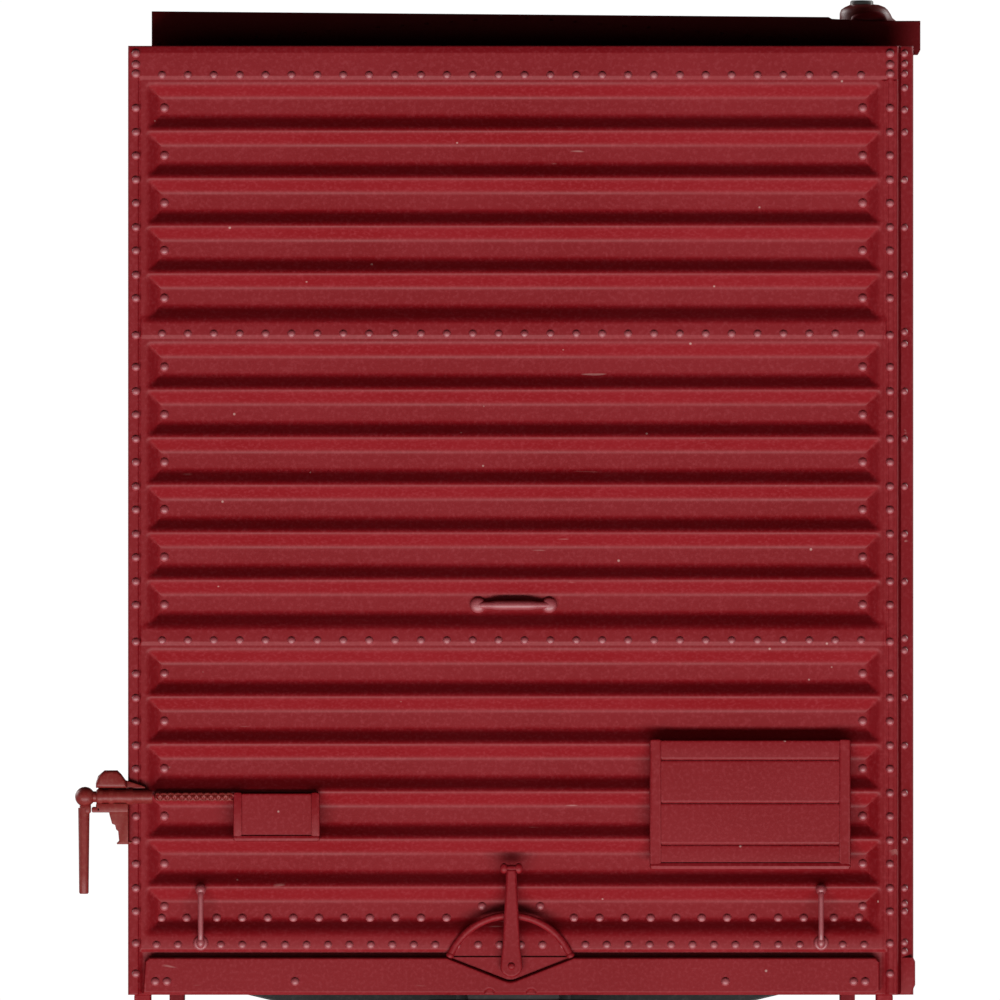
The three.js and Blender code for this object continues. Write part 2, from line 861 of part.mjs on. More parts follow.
function outward(points) {
  return points.map(([x, reach]) => [x, couplerPivot - reach]);
}

function couplerBox() {
  const z0 = couplerHeight - 1.8;
  const z1 = couplerHeight + 1.55;
  const shell = block(-3.9, 3.9, endFace - 0.6, -80.5, z0, z1);
  const pad = block(-2.1, 2.1, -sideEnd, -80.5, z1 - 0.1, floorBottom - fit);
  const cavity = block(-3.3, 3.3, endFace - 2, -81.1, z0 + 0.5, z1 - 0.45);
  const hollow = carve([shell, pad], [cavity]);
  const post = bar(0.8, [0, couplerPivot, z0 + 0.2], [0, couplerPivot, z1 - 0.2], 14);
  return carve([hollow, post]);
}

function couplerBody() {
  const { x, y, height } = knuckle;
  const shankHalf = 0.9;
  const shankBottom = couplerHeight - shankHalf;
  const shankTop = couplerHeight + shankHalf;
  const shank = prismZ(
    outward([
      [-0.8, 0],
      [0.8, 0],
      [0.8, 8.6],
      [-0.8, 8.6],
    ]),
    shankBottom,
    shankTop,
  );
  const ring = bar(1.7, [0, couplerPivot, shankBottom], [0, couplerPivot, shankTop], 16);
  const head = prismZ(
    outward([
      [-1, 8.2],
      [1, 8.2],
      [1.9, 9.4],
      [2.4, 11],
      [3.3, 13.4],
      [2.9, 13.9],
      [2.2, 13.4],
      [1.2, 11.4],
      [0.2, 10.6],
      [-0.35, 9.4],
      [-1.6, 9.4],
    ]),
    couplerHeight - height,
    couplerHeight + height,
  );
  const lug = outward([
    [-0.3, 9],
    [-1.9, 9],
    [-2.2, 10.2],
    [-2.2, 11.5],
    [-0.8, 11.5],
    [0.2, 10.4],
  ]);
  const lugThick = 0.42;
  const lugs = [
    prismZ(lug, couplerHeight - height, couplerHeight - height + lugThick),
    prismZ(lug, couplerHeight + height - lugThick, couplerHeight + height),
  ];
  const pivotHole = bar(1, [0, couplerPivot, 0], [0, couplerPivot, 20], 16);
  const knuckleHole = bar(0.4, [x, y, 0], [x, y, 20]);
  return carve([shank, ring, head, ...lugs], [pivotHole, knuckleHole]);
}

function couplerKnuckle() {
  const { x, y, height } = knuckle;
  const half = height - 0.42 - running;
  const hook = prismZ(
    outward([
      [-0.95, 10.4],
      [-0.85, 11.7],
      [-0.75, 12.5],
      [0.35, 12.7],
      [0.5, 13.4],
      [-0.3, 14],
      [-1.3, 13.9],
      [-2.1, 13],
      [-2.25, 11.6],
      [-2.2, 10.9],
      [-2.05, 10.4],
    ]),
    couplerHeight - half,
    couplerHeight + half,
  );
  const pin = bar(0.3, [x, y, couplerHeight - height + 0.02], [x, y, couplerHeight + height - 0.02]);
  return carve([hook, pin]);
}

// ---- assembly ----
const car = new THREE.Group();
const endA = new THREE.Group();
const endB = new THREE.Group();
endB.rotation.z = Math.PI;
car.add(endA, endB);

function place(group, name, geometry, material, at = [0, 0, 0]) {
  const mesh = new THREE.Mesh(geometry, material);
  mesh.name = name;
  mesh.position.set(...at);
  group.add(mesh);
}

place(endA, "end_panel_a", endPanel(), maroon);
place(endB, "end_panel_b", endPanel(), maroon);
place(endA, "side_panel_left", sidePanel(), maroon);
place(endB, "side_panel_right", sidePanel(), maroon);
place(endA, "door_left", slidingDoor(), maroon);
place(endB, "door_right", slidingDoor(), maroon);
place(endA, "door_track_left", doorTrack(), maroon);
place(endB, "door_track_right", doorTrack(), maroon);
place(car, "roof", roof(), maroon);
place(endA, "roof_channel_a", roofChannel(), maroon);
place(endB, "roof_channel_b", roofChannel(), maroon);
place(endA, "roof_cap_a", roofCap(), brown);
place(endB, "roof_cap_b", roofCap(), brown);

place(endA, "tack_board_a", tackBoard(), maroon);
place(endB, "tack_board_b", tackBoard(), maroon);
place(endA, "routing_board", routingBoard(), maroon);
place(endA, "middle_grab", middleGrab(), maroon);
place(endA, "corner_grab_left", cornerGrab(-14.08), maroon);
place(endA, "corner_grab_right", cornerGrab(13.84), maroon);
place(endA, "lever_quadrant", quadrant(), maroon);
place(endA, "uncoupling_lever", uncouplingLever(), maroon);
place(endA, "crank_bracket_a", crankBracket(), brown);
place(endB, "crank_bracket_b", crankBracket(), brown);
place(endA, "crank_handle_a", crankHandle(), brown);
place(endB, "crank_handle_b", crankHandle(), brown);
place(endA, "crank_chain", crankChain(), brown);

place(endB, "brake_housing", brakeHousing(), maroon);
place(endB, "brake_wheel", brakeWheel(), maroon);
place(endB, "brake_platform", brakePlatform(), maroon);

for (const [group, hand] of [[endA, "left"], [endB, "right"]]) {
  const near = group === endA ? "a" : "b";
  const far = group === endA ? "b" : "a";
  place(group, `ladder_${hand}_${near}`, ladder(-ladderY), maroon);
  place(group, `ladder_${hand}_${far}`, ladder(ladderY), maroon);
  place(group, `sill_step_${hand}_${near}`, sillStep(-ladderY), maroon);
  place(group, `sill_step_${hand}_${far}`, sillStep(ladderY), maroon);
}

place(car, "floor", floorPlate(), black);
place(car, "underframe", underframe(), black);
place(car, "weight", weight(), steel);
place(car, "brake_cylinder", brakeCylinder(), black);
place(car, "air_reservoir", airReservoir(), black);
place(car, "control_valve", controlValve(), black);

for (const [name, y] of [["a", -truckCentre], ["b", truckCentre]]) {
  place(car, `kingpin_${name}`, kingpin(y), steel);
  place(car, `truck_frame_${name}`, truckFrame(), black, [0, y, 0]);
  place(car, `wheelset_${name}1`, wheelset(), blackened, [0, y - wheelbase / 2, axleHeight]);
  place(car, `wheelset_${name}2`, wheelset(), blackened, [0, y + wheelbase / 2, axleHeight]);
}

for (const [name, group] of [["a", endA], ["b", endB]]) {
  place(group, `coupler_box_${name}`, couplerBox(), black);
  place(group, `coupler_${name}`, couplerBody(), blackened);
  place(group, `knuckle_${name}`, couplerKnuckle(), blackened);
}

export default car;
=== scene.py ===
"""Looks of the HO scale box car. Each rigid CAD node gets a finished copy with rounded edges, and the
ends, wheels, boards, grabs, chain and springs are built afresh with their rivets and small detail.
Lengths are in millimetres until a mesh is made; end pieces are drawn for end A, which faces -Y."""
import json
import math

import bmesh
import bpy
import numpy as np
from mathutils import Matrix, Vector


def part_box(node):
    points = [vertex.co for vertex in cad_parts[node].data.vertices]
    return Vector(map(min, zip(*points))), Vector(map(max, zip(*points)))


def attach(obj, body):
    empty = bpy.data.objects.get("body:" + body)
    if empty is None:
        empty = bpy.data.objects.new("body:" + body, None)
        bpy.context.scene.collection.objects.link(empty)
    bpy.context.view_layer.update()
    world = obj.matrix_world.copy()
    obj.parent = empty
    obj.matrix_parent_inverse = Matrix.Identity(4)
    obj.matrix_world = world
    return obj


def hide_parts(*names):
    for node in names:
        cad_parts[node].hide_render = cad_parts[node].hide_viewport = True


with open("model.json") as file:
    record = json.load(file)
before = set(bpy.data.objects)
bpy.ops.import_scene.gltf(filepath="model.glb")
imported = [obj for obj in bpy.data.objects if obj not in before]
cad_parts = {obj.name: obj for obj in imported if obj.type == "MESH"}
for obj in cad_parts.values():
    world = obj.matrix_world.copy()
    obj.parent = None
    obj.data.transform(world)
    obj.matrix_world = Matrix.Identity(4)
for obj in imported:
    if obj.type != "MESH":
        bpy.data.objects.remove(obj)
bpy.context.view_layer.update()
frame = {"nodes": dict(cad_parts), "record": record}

MM = 0.001

BODY_OF = {node: body for body, nodes in frame["record"]["behaviour"]["bodies"].items() for node in nodes}
SLOT_OF = {part["node"]: part["material_slot"] for part in frame["record"]["subparts"]}
HALF_TURN = Matrix.Rotation(math.pi, 4, "Z")
ENDS = (("a", False), ("b", True))  # end B is end A turned half round
SIDES = (("left", False), ("right", True))  # and so is the right side


def mm_box(node):
    """Lowest and highest corner of a CAD node, in millimetres."""
    low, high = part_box(node)
    return low / MM, high / MM


def drawn_box(node, turned):
    """The box of a node or, for a turned one, the box it has before the half turn."""
    low, high = mm_box(node)
    if turned:
        return Vector((-high.x, -high.y, low.z)), Vector((-low.x, -low.y, high.z))
    return low, high


# ------------------------ materials


class Surface:
    """A material and the textures, in object space, that feed its shader."""

    def __init__(self, name):
        self.material = bpy.data.materials.new(name)
        self.material.use_nodes = True
        self.nodes = self.material.node_tree.nodes
        self.links = self.material.node_tree.links
        self.shader = self.nodes["Principled BSDF"]
        self.coords = self.nodes.new("ShaderNodeTexCoord").outputs["Object"]

    def fill(self, node, **values):
        """Sets inputs, "_" standing for a space, to a number, a colour or the output of another node."""
        for input_name, value in values.items():
            socket = node.inputs[input_name.replace("_", " ")]
            if isinstance(value, (int, float)):
                socket.default_value = value
            elif isinstance(value, tuple):
                socket.default_value = (*value, 1)
            else:
                self.links.new(value, socket)

    def noise(self, scale, detail, rough=0.5, stretch=(1, 1, 1)):
        """A noise texture; scale is in features per metre."""
        mapping = self.nodes.new("ShaderNodeMapping")
        mapping.inputs["Scale"].default_value = stretch
        self.fill(mapping, Vector=self.coords)
        texture = self.nodes.new("ShaderNodeTexNoise")
        self.fill(texture, Vector=mapping.outputs["Vector"], Scale=scale, Detail=detail, Roughness=rough)
        return texture.outputs["Fac"]

    def ramp(self, value, stops):
        """A colour ramp over (position, colour) stops."""
        node = self.nodes.new("ShaderNodeValToRGB")
        elements = node.color_ramp.elements
        for element, (position, colour) in zip(elements, stops):
            element.position = position
            element.color = (*colour, 1)
        for position, colour in stops[2:]:
            element = elements.new(position)
            element.color = (*colour, 1)
        self.fill(node, Fac=value)
        return node.outputs["Color"]

    def mix(self, amount, first, second):
        node = self.nodes.new("ShaderNodeMix")
        node.data_type = "RGBA"
        self.fill(node, Factor=amount, A=first, B=second)
        return node.outputs["Result"]

    def map_range(self, value, low, high, to_low, to_high):
        node = self.nodes.new("ShaderNodeMapRange")
        self.fill(node, Value=value, From_Min=low, From_Max=high, To_Min=to_low, To_Max=to_high)
        return node.outputs["Result"]

    def bump(self, *layers):
        """Stacks bumps; each layer is (height, strength, distance in metres)."""
        normal = None
        for height, strength, distance in layers:
            node = self.nodes.new("ShaderNodeBump")
            self.fill(node, Strength=strength, Distance=distance, Height=height)
            if normal is not None:
                self.fill(node, Normal=normal)
            normal = node.outputs["Normal"]
        self.fill(self.shader, Normal=normal)

    def specks(self, scale, size):
        """Sparse round specks, 0 to 1; scale is in cells per metre and size in metres."""
        cells = self.nodes.new("ShaderNodeTexVoronoi")
        self.fill(cells, Scale=scale, Vector=self.coords)
        return self.map_range(cells.outputs["Distance"], size * scale, 0.6 * size * scale, 0, 1)

    def scuffs(self):
        """Short thin marks in a few places, 0 to 0.7."""
        lines = self.map_range(self.noise(3600, 1, 0.5, (0.12, 1, 1)), 0.7, 0.74, 0, 1)
        places = self.map_range(self.noise(330, 1), 0.66, 0.7, 0, 0.7)
        both = self.nodes.new("ShaderNodeMath")
        both.operation = "MULTIPLY"
        self.links.new(lines, both.inputs[0])
        self.links.new(places, both.inputs[1])
        return both.outputs["Value"]


def moulded_plastic(name, deep, main, pale, dusty, roughness, specular):
    """Injection-moulded styrene: cloudy pigment, fine mould texture, faint streaks and a little dust."""
    surface = Surface(name)
    clouds = surface.noise(150, 4, 0.6)
    grain = surface.noise(6500, 2, 0.6)
    streaks = surface.noise(420, 3, 0.6, (0.25, 1, 3))
    colour = surface.ramp(clouds, [(0.3, deep), (0.7, pale), (0.5, main)])
    colour = surface.mix(surface.map_range(streaks, 0.45, 0.75, 0, 0.3), colour, deep)
    colour = surface.mix(surface.map_range(grain, 0.48, 0.75, 0, 0.5), colour, dusty)
    colour = surface.mix(surface.scuffs(), colour, (0.4, 0.16, 0.15))
    colour = surface.mix(surface.specks(560, 0.00007), colour, (0.42, 0.2, 0.18))
    rough = surface.map_range(clouds, 0.3, 0.7, roughness - 0.05, roughness + 0.08)
    surface.fill(surface.shader, Base_Color=colour, Roughness=rough, Specular_IOR_Level=specular)
    mould = surface.noise(2600, 3, 0.55)
    surface.bump((clouds, 0.25, 0.00006), (mould, 0.4, 0.000012), (grain, 0.3, 0.000007))
    return surface.material


def worn_metal(name, dark, main, edge, roughness):
    """Blackened or bare metal with rubbed patches and fine turning marks."""
    surface = Surface(name)
    patches = surface.noise(420, 5, 0.65)
    marks = surface.noise(9000, 2, 0.5, (0.1, 1, 1))
    colour = surface.ramp(patches, [(0.32, dark), (0.72, edge), (0.52, main)])
    rough = surface.map_range(patches, 0.3, 0.7, roughness + 0.12, roughness - 0.06)
    surface.fill(surface.shader, Base_Color=colour, Roughness=rough, Metallic=0.85)
    surface.bump((patches, 0.25, 0.00003), (marks, 0.2, 0.000006))
    return surface.material


MATERIALS = {
    "maroon_plastic": moulded_plastic(
        "maroon_plastic",
        deep=(0.2, 0.003, 0.006),
        main=(0.212, 0.0035, 0.0075),
        pale=(0.224, 0.0045, 0.009),
        dusty=(0.3, 0.03, 0.038),
        roughness=0.52,
        specular=0.27,
    ),
    "brown_plastic": moulded_plastic(
        "brown_plastic",
        deep=(0.17, 0.011, 0.01),
        main=(0.2, 0.016, 0.014),
        pale=(0.22, 0.023, 0.018),
        dusty=(0.26, 0.06, 0.045),
        roughness=0.44,
        specular=0.35,
    ),
    "black_plastic": moulded_plastic(
        "black_plastic",
        deep=(0.008, 0.007, 0.007),
        main=(0.014, 0.013, 0.013),
        pale=(0.022, 0.02, 0.02),
        dusty=(0.05, 0.045, 0.042),
        roughness=0.5,
        specular=0.4,
    ),
    "blackened_metal": worn_metal(
        "blackened_metal",
        dark=(0.02, 0.018, 0.017),
        main=(0.045, 0.04, 0.037),
        edge=(0.12, 0.1, 0.09),
        roughness=0.42,
    ),
    "steel": worn_metal(
        "steel",
        dark=(0.28, 0.27, 0.26),
        main=(0.42, 0.41, 0.4),
        edge=(0.55, 0.54, 0.52),
        roughness=0.3,
    ),
}
# Painted light: a lighter maroon paints highlights on rivets and grabs, a darker, duller one paints roof
# shade.
PAINTED_HIGHLIGHT_MAROON = moulded_plastic(
    "maroon_painted_highlight",
    deep=(0.27, 0.033, 0.042),
    main=(0.3, 0.043, 0.053),
    pale=(0.33, 0.055, 0.065),
    dusty=(0.36, 0.08, 0.085),
    roughness=0.5,
    specular=1.0,
)
# Darker, duller maroon whose colour paints shade onto the roof, its channels and its rivets.
ROOF_PAINTED_SHADE_MAROON = moulded_plastic(
    "roof_maroon_painted_shade",
    deep=(0.115, 0.0015, 0.003),
    main=(0.13, 0.002, 0.004),
    pale=(0.145, 0.003, 0.005),
    dusty=(0.17, 0.01, 0.014),
    roughness=0.5,
    specular=0.12,
)


# ------------------------ mesh building


class Build:
    """Points in millimetres and faces, gathered piece by piece and then made into one object."""

    def __init__(self):
        self.points = []
        self.faces = []

    def add(self, points, faces):
        start = len(self.points)
        self.points.extend(Vector(p) for p in points)
        self.faces.extend(tuple(start + i for i in face) for face in faces)

    def make(self, name, slot, body, turned=False, smooth=40, replaces=(), weighted=True, look=None):
        mesh = bpy.data.meshes.new(name)
        mesh.from_pydata([p * MM for p in self.points], [], self.faces)
        mesh.validate()
        return finish_object(mesh, name, slot, body, turned, smooth, replaces, weighted, look)


def finish_object(mesh, name, slot, body, turned=False, smooth=40, replaces=(), weighted=True, look=None):
    """Shades, colours and places a mesh, and makes it ride on its body. Weighted: large faces stay flat."""
    if turned:
        mesh.transform(HALF_TURN)
    shell = bmesh.new()
    shell.from_mesh(mesh)
    bmesh.ops.recalc_face_normals(shell, faces=shell.faces)
    for face in shell.faces:
        face.smooth = True
    limit = math.radians(smooth)
    for edge in shell.edges:
        edge.smooth = len(edge.link_faces) == 2 and edge.calc_face_angle(0) < limit
    shell.to_mesh(mesh)
    shell.free()
    mesh.materials.clear()
    mesh.materials.append(look or MATERIALS[slot])
    piece = bpy.data.objects.new(name, mesh)
    bpy.context.scene.collection.objects.link(piece)
    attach(piece, body)
    if replaces:
        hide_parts(*replaces)
    if weighted:
        flat = piece.modifiers.new("flat_faces", "WEIGHTED_NORMAL")
        flat.keep_sharp = True
    return piece


def rounded_copy(node, bevel, look=None):
    """A copy of a CAD node with its flat faces joined up and its edges rounded."""
    shell = bmesh.new()
    shell.from_mesh(frame["nodes"][node].data)
    bmesh.ops.remove_doubles(shell, verts=shell.verts, dist=0.002 * MM)
    bmesh.ops.dissolve_limit(
        shell,
        angle_limit=math.radians(1),
        use_dissolve_boundaries=False,
        verts=shell.verts,
        edges=shell.edges,
    )
    limit = math.radians(25)
    sharp = [e for e in shell.edges if len(e.link_faces) == 2 and e.calc_face_angle(0) > limit]
    bmesh.ops.bevel(
        shell,
        geom=sharp,
        offset=bevel * MM,
        offset_type="OFFSET",
        segments=2,
        profile=0.5,
        affect="EDGES",
        clamp_overlap=True,
    )
    name = node + "_finished"
    mesh = bpy.data.meshes.new(name)
    shell.to_mesh(mesh)
    shell.free()
    return finish_object(mesh, name, SLOT_OF[node], BODY_OF[node], replaces=[node], look=look)


def across(normal):
    """Two unit vectors square to a normal."""
    normal = Vector(normal).normalized()
    side = normal.orthogonal().normalized()
    return side, normal.cross(side)


def circle(centre, u, v, radius, sides):
    """Points round a centre in the plane of u and v."""
    turns = [2 * math.pi * i / sides for i in range(sides)]
    return [centre + (u * math.cos(turn) + v * math.sin(turn)) * radius for turn in turns]


def band(a, b, sides):
    """The faces between two rings of points, which start at a and at b."""
    return [(a + i, a + (i + 1) % sides, b + (i + 1) % sides, b + i) for i in range(sides)]


def dome(build, centre, normal, radius, height, sides=12, rings=3):
    """A rivet head: part of a ball standing on a surface, sunk slightly into it."""
    normal = Vector(normal).normalized()
    u, v = across(normal)
    centre = Vector(centre)
    points = []
    for ring in range(rings):
        angle = math.pi / 2 * ring / rings
        lift = height * math.sin(angle) - (0.02 if ring == 0 else 0)
        points += circle(centre + normal * lift, u, v, radius * math.cos(angle), sides)
    points.append(centre + normal * height)
    top = (rings - 1) * sides
    faces = [tuple(range(sides))[::-1]]
    for start in range(0, top, sides):
        faces += band(start, start + sides, sides)
    faces += [(top + i, top + (i + 1) % sides, rings * sides) for i in range(sides)]
    build.add(points, faces)


def tube(build, path, radius, sides=10, closed=False):
    """A round rod along a list of points; radius may be a list, one value a point."""
    path = [Vector(p) for p in path]
    radii = radius if isinstance(radius, (list, tuple)) else [radius] * len(path)
    count = len(path)
    points = []
    side = None
    for i, point in enumerate(path):
        before = path[i - 1] if i or closed else path[i]
        after = path[(i + 1) % count] if i < count - 1 or closed else path[i]
        along = (after - before).normalized()
        side = along.orthogonal() if side is None else side - along * side.dot(along)
        side.normalize()
        points += circle(point, side, along.cross(side), radii[i], sides)
    faces = []
    for i in range(count if closed else count - 1):
        faces += band(i * sides, ((i + 1) % count) * sides, sides)
    if not closed:
        faces.append(tuple(range(sides))[::-1])
        faces.append(tuple((count - 1) * sides + k for k in range(sides)))
    build.add(points, faces)


def turned_shape(build, profile, centre, axis, sides=48):
    """Revolves (radius, height) points round an axis; a profile that ends where it began makes a ring."""
    axis = Vector(axis).normalized()
    u, v = across(axis)
    centre = Vector(centre)
    closed = profile[0] == profile[-1]
    rings = []
    points = []
    for radius, height in profile[:-1] if closed else profile:
        middle = centre + axis * height
        start = len(points)
        points += [middle] if radius < 1e-6 else circle(middle, u, v, radius, sides)
        rings.append(range(start, len(points)))
    faces = []
    for low, high in zip(rings, rings[1:] + rings[:1] if closed else rings[1:]):
        for i in range(sides):
            j = (i + 1) % sides
            corners = [low[i % len(low)], low[j % len(low)], high[j % len(high)], high[i % len(high)]]
            faces.append(tuple(dict.fromkeys(corners)))
    build.add(points, [face for face in faces if len(face) > 2])


def ellipsoid(build, centre, radii, sides=20):
    """A ball squashed along the three axes."""
    profile = [(math.sin(t), -math.cos(t)) for t in np.linspace(0, math.pi, 11)]
    profile[0], profile[-1] = (0, -1), (0, 1)
    ball = Build()
    turned_shape(ball, profile, (0, 0, 0), (0, 0, 1), sides)
    middle = Vector(centre)
    build.add([middle + Vector(a * b for a, b in zip(p, radii)) for p in ball.points], ball.faces)


def loft(build, rings):
    """A closed body through rings of the same number of points."""
    count = len(rings[0])
    last = (len(rings) - 1) * count
    faces = [tuple(range(count))[::-1], tuple(last + i for i in range(count))]
    for start in range(0, last, count):
        faces += band(start, start + count, count)
    build.add([point for ring in rings for point in ring], faces)


def slab(build, low, high, bevel=0.04):
    """A box with chamfered edges."""
    shell = bmesh.new()
    bmesh.ops.create_cube(shell, size=1)
    size = [b - a for a, b in zip(low, high)]
    middle = [(a + b) / 2 for a, b in zip(low, high)]
    for vert in shell.verts:
        vert.co = Vector(m + c * s for m, c, s in zip(middle, vert.co, size))
    offset = min(bevel, 0.45 * min(size))
    bmesh.ops.bevel(shell, geom=shell.edges[:], offset=offset, segments=2, profile=0.5, affect="EDGES")
    shell.verts.index_update()
    build.add([v.co.copy() for v in shell.verts], [tuple(v.index for v in f.verts) for f in shell.faces])
    shell.free()


# ------------------------ end panels

PANEL_LOW, PANEL_HIGH = mm_box("end_panel_a")
SILL = PANEL_LOW.z
TOP = PANEL_HIGH.z + 0.06  # the lip is rounded, so it rises a little past the drawn edge
BACK = PANEL_HIGH.y
RIDGES = BACK - 1.4  # the face of the ridges
PANEL_HALF = 17.35
FLANGE_OUTER = PANEL_HIGH.x

RIB_GROUPS = (5, 6, 6)
RIB_PITCH = 2.14
GROUP_GAP = 0.96
TOP_STRIP = 1.75
POCKET_HEIGHT = 2.0
POCKET_DEPTH = 0.56
POCKET_HALF = 16.49
POCKET_CORNER = 0.22
LAP_RISE = 0.06  # riveted laps stand this proud of the ridges
LAP_SLOPE = 0.38
STRIP_RISE = 0.08  # and the corner strips this much
LAP_DROP = 0.22  # from the edge of a lap down to the next pocket
STRIP_INNER = 16.82
LEFT_CREASE = -STRIP_INNER - 0.02
RIGHT_BEADS = ((16.72, 0.09), (17.17, 0.08))  # middle and half width of two fine beads
EDGE = 0.14  # rounding where flat and slope meet
LIP = 0.33  # the top of the panel leans back over this height
TOP_RIM, FOOT_RIM, SIDE_RIM = 0.07, 0.06, 0.12  # rounding of the panel's outer edges
SILL_RISE = 0.3  # the sill plate stands this proud
FLANGE_BACK = 0.3  # and the flange this far back
SILL_PLATE_TOP = 1.7
SILL_PLATE_LEFT = -16.6
SILL_PLATE_RIGHT = 16.48
GROOVE_TOP = 2.06  # the groove over the sill plate starts this far above the sill
GROOVE = 0.14  # and is this deep
VEE_X = -0.15  # middle of the V-shaped notch in the sill plate
VEE_HALF = 2.8
PIVOT_RISE = 1.29  # the lever's pivot above the sill
TIP_RADIUS = 0.62  # the V's tip is round about the pivot
CRANK_RISE = 8.92  # the crank's shaft above the sill
CRANK_SHAFT = 0.25  # radius
CRANK_KNOB = 0.45  # radius of the ball on its end
CHAIN_START = -15.0  # the shaft lies left of this


def pocket_tops():
    """Heights of the upper rims of the pockets, group by group."""
    groups = []
    top = TOP - TOP_STRIP
    for count in RIB_GROUPS:
        groups.append([top - i * RIB_PITCH for i in range(count)])
        top -= count * RIB_PITCH + GROUP_GAP
    return groups


GROUPS = pocket_tops()
POCKETS = [top for group in GROUPS for top in group]
LAP_EDGES = [GROUPS[0][0] + LAP_DROP, GROUPS[1][0] + LAP_DROP, GROUPS[2][0] + LAP_DROP]


def eased(distance, radius):
    """max(distance, 0) with the corner at zero rounded off."""
    inside = (distance + radius) ** 2 / (4 * radius)
    return np.where(distance < -radius, 0, np.where(distance > radius, distance, inside))


def step(distance, rise, radius, foot_radius=None):
    """Rises from 0 to rise at 45 degrees as distance grows, with both corners rounded."""
    return eased(distance, radius) - eased(distance - rise, foot_radius or radius)


def lap_edge(distance):
    """The gently sloping lower edge of a riveted lap."""
    width = LAP_RISE / LAP_SLOPE
    return LAP_SLOPE * (eased(distance, 0.02) - eased(distance - width, 0.02))


def inside_box(x, z, half, low, high, corner):
    """Distance inside a rectangle with rounded corners; negative outside."""
    qx = np.abs(x) - (half - corner)
    qz = np.abs(z - (low + high) / 2) - ((high - low) / 2 - corner)
    outer = np.hypot(np.maximum(qx, 0), np.maximum(qz, 0))
    return corner - outer - np.minimum(np.maximum(qx, qz), 0)


def rim(distance, radius):
    """A quarter round: how far a face has fallen back at a distance into its rounded rim."""
    into = np.clip(distance, 0, radius)
    return radius - np.sqrt(np.maximum(radius * radius - into**2, 0))


def hump(x, middle, half):
    """A smooth bump, 1 at its middle."""
    return np.exp(-(((x - middle) / half) ** 2))


def end_surface(x, z):
    """How far the face of an end panel lies behind its ridges at (x, z)."""
    depth = np.zeros_like(x)
    for group in GROUPS:
        for top in group:
            foot = top - POCKET_HEIGHT
            radius = EDGE
            if top == group[-1]:
                radius = np.where(z - foot < POCKET_HEIGHT / 2, 1.7 * EDGE, EDGE)
            inside = inside_box(x, z, POCKET_HALF, foot, top, POCKET_CORNER)
            depth += step(inside, POCKET_DEPTH, radius, EDGE)
    raised = step(np.abs(x) - STRIP_INNER, STRIP_RISE, 0.03)
    raised = np.maximum(raised, lap_edge(z - LAP_EDGES[0]))
    on_panel = np.clip((STRIP_INNER - np.abs(x)) / 0.1, 0, 1)
    for edge, group in zip(LAP_EDGES[1:], GROUPS):
        upper = group[-1] - POCKET_HEIGHT + 0.15
        lap = lap_edge(z - edge) * np.clip((upper - z) / 0.3, 0, 1)
        raised = np.maximum(raised, lap * on_panel)
    depth -= raised
    below_top = np.clip((LAP_EDGES[0] - z) / 0.05, 0, 1)
    depth += 0.055 * below_top * hump(x, LEFT_CREASE, 0.045)
    for middle, half in RIGHT_BEADS:
        depth -= 0.06 * below_top * hump(x, middle, half)
    beside_vee = np.clip((np.abs(x - VEE_X) - VEE_HALF + 0.1) / 0.1, 0, 1)
    depth += step(SILL + GROOVE_TOP - z, GROOVE, 0.065) * on_panel * beside_vee
    depth += 0.27 * np.maximum(z - (TOP - LIP), 0)
    depth += rim(z - (TOP - TOP_RIM), TOP_RIM) + rim(SILL + FOOT_RIM - z, FOOT_RIM)
    flange = np.clip((x - (PANEL_HALF - 0.08)) / 0.08, 0, 1)
    depth += (FLANGE_BACK + STRIP_RISE) * flange + 0.55 * np.maximum(x - PANEL_HALF - 0.1, 0)
    depth += 0.12 * hump(x, PANEL_HALF + 0.02, 0.05)
    depth += rim(x - (FLANGE_OUTER - SIDE_RIM), SIDE_RIM) + rim(-x - (PANEL_HALF - SIDE_RIM), SIDE_RIM)
    return depth


def merged(values, gap=0.012):
    """Sorted values with near doubles dropped."""
    kept = []
    for value in sorted(values):
        if not kept or value - kept[-1] > gap:
            kept.append(value)
    return kept


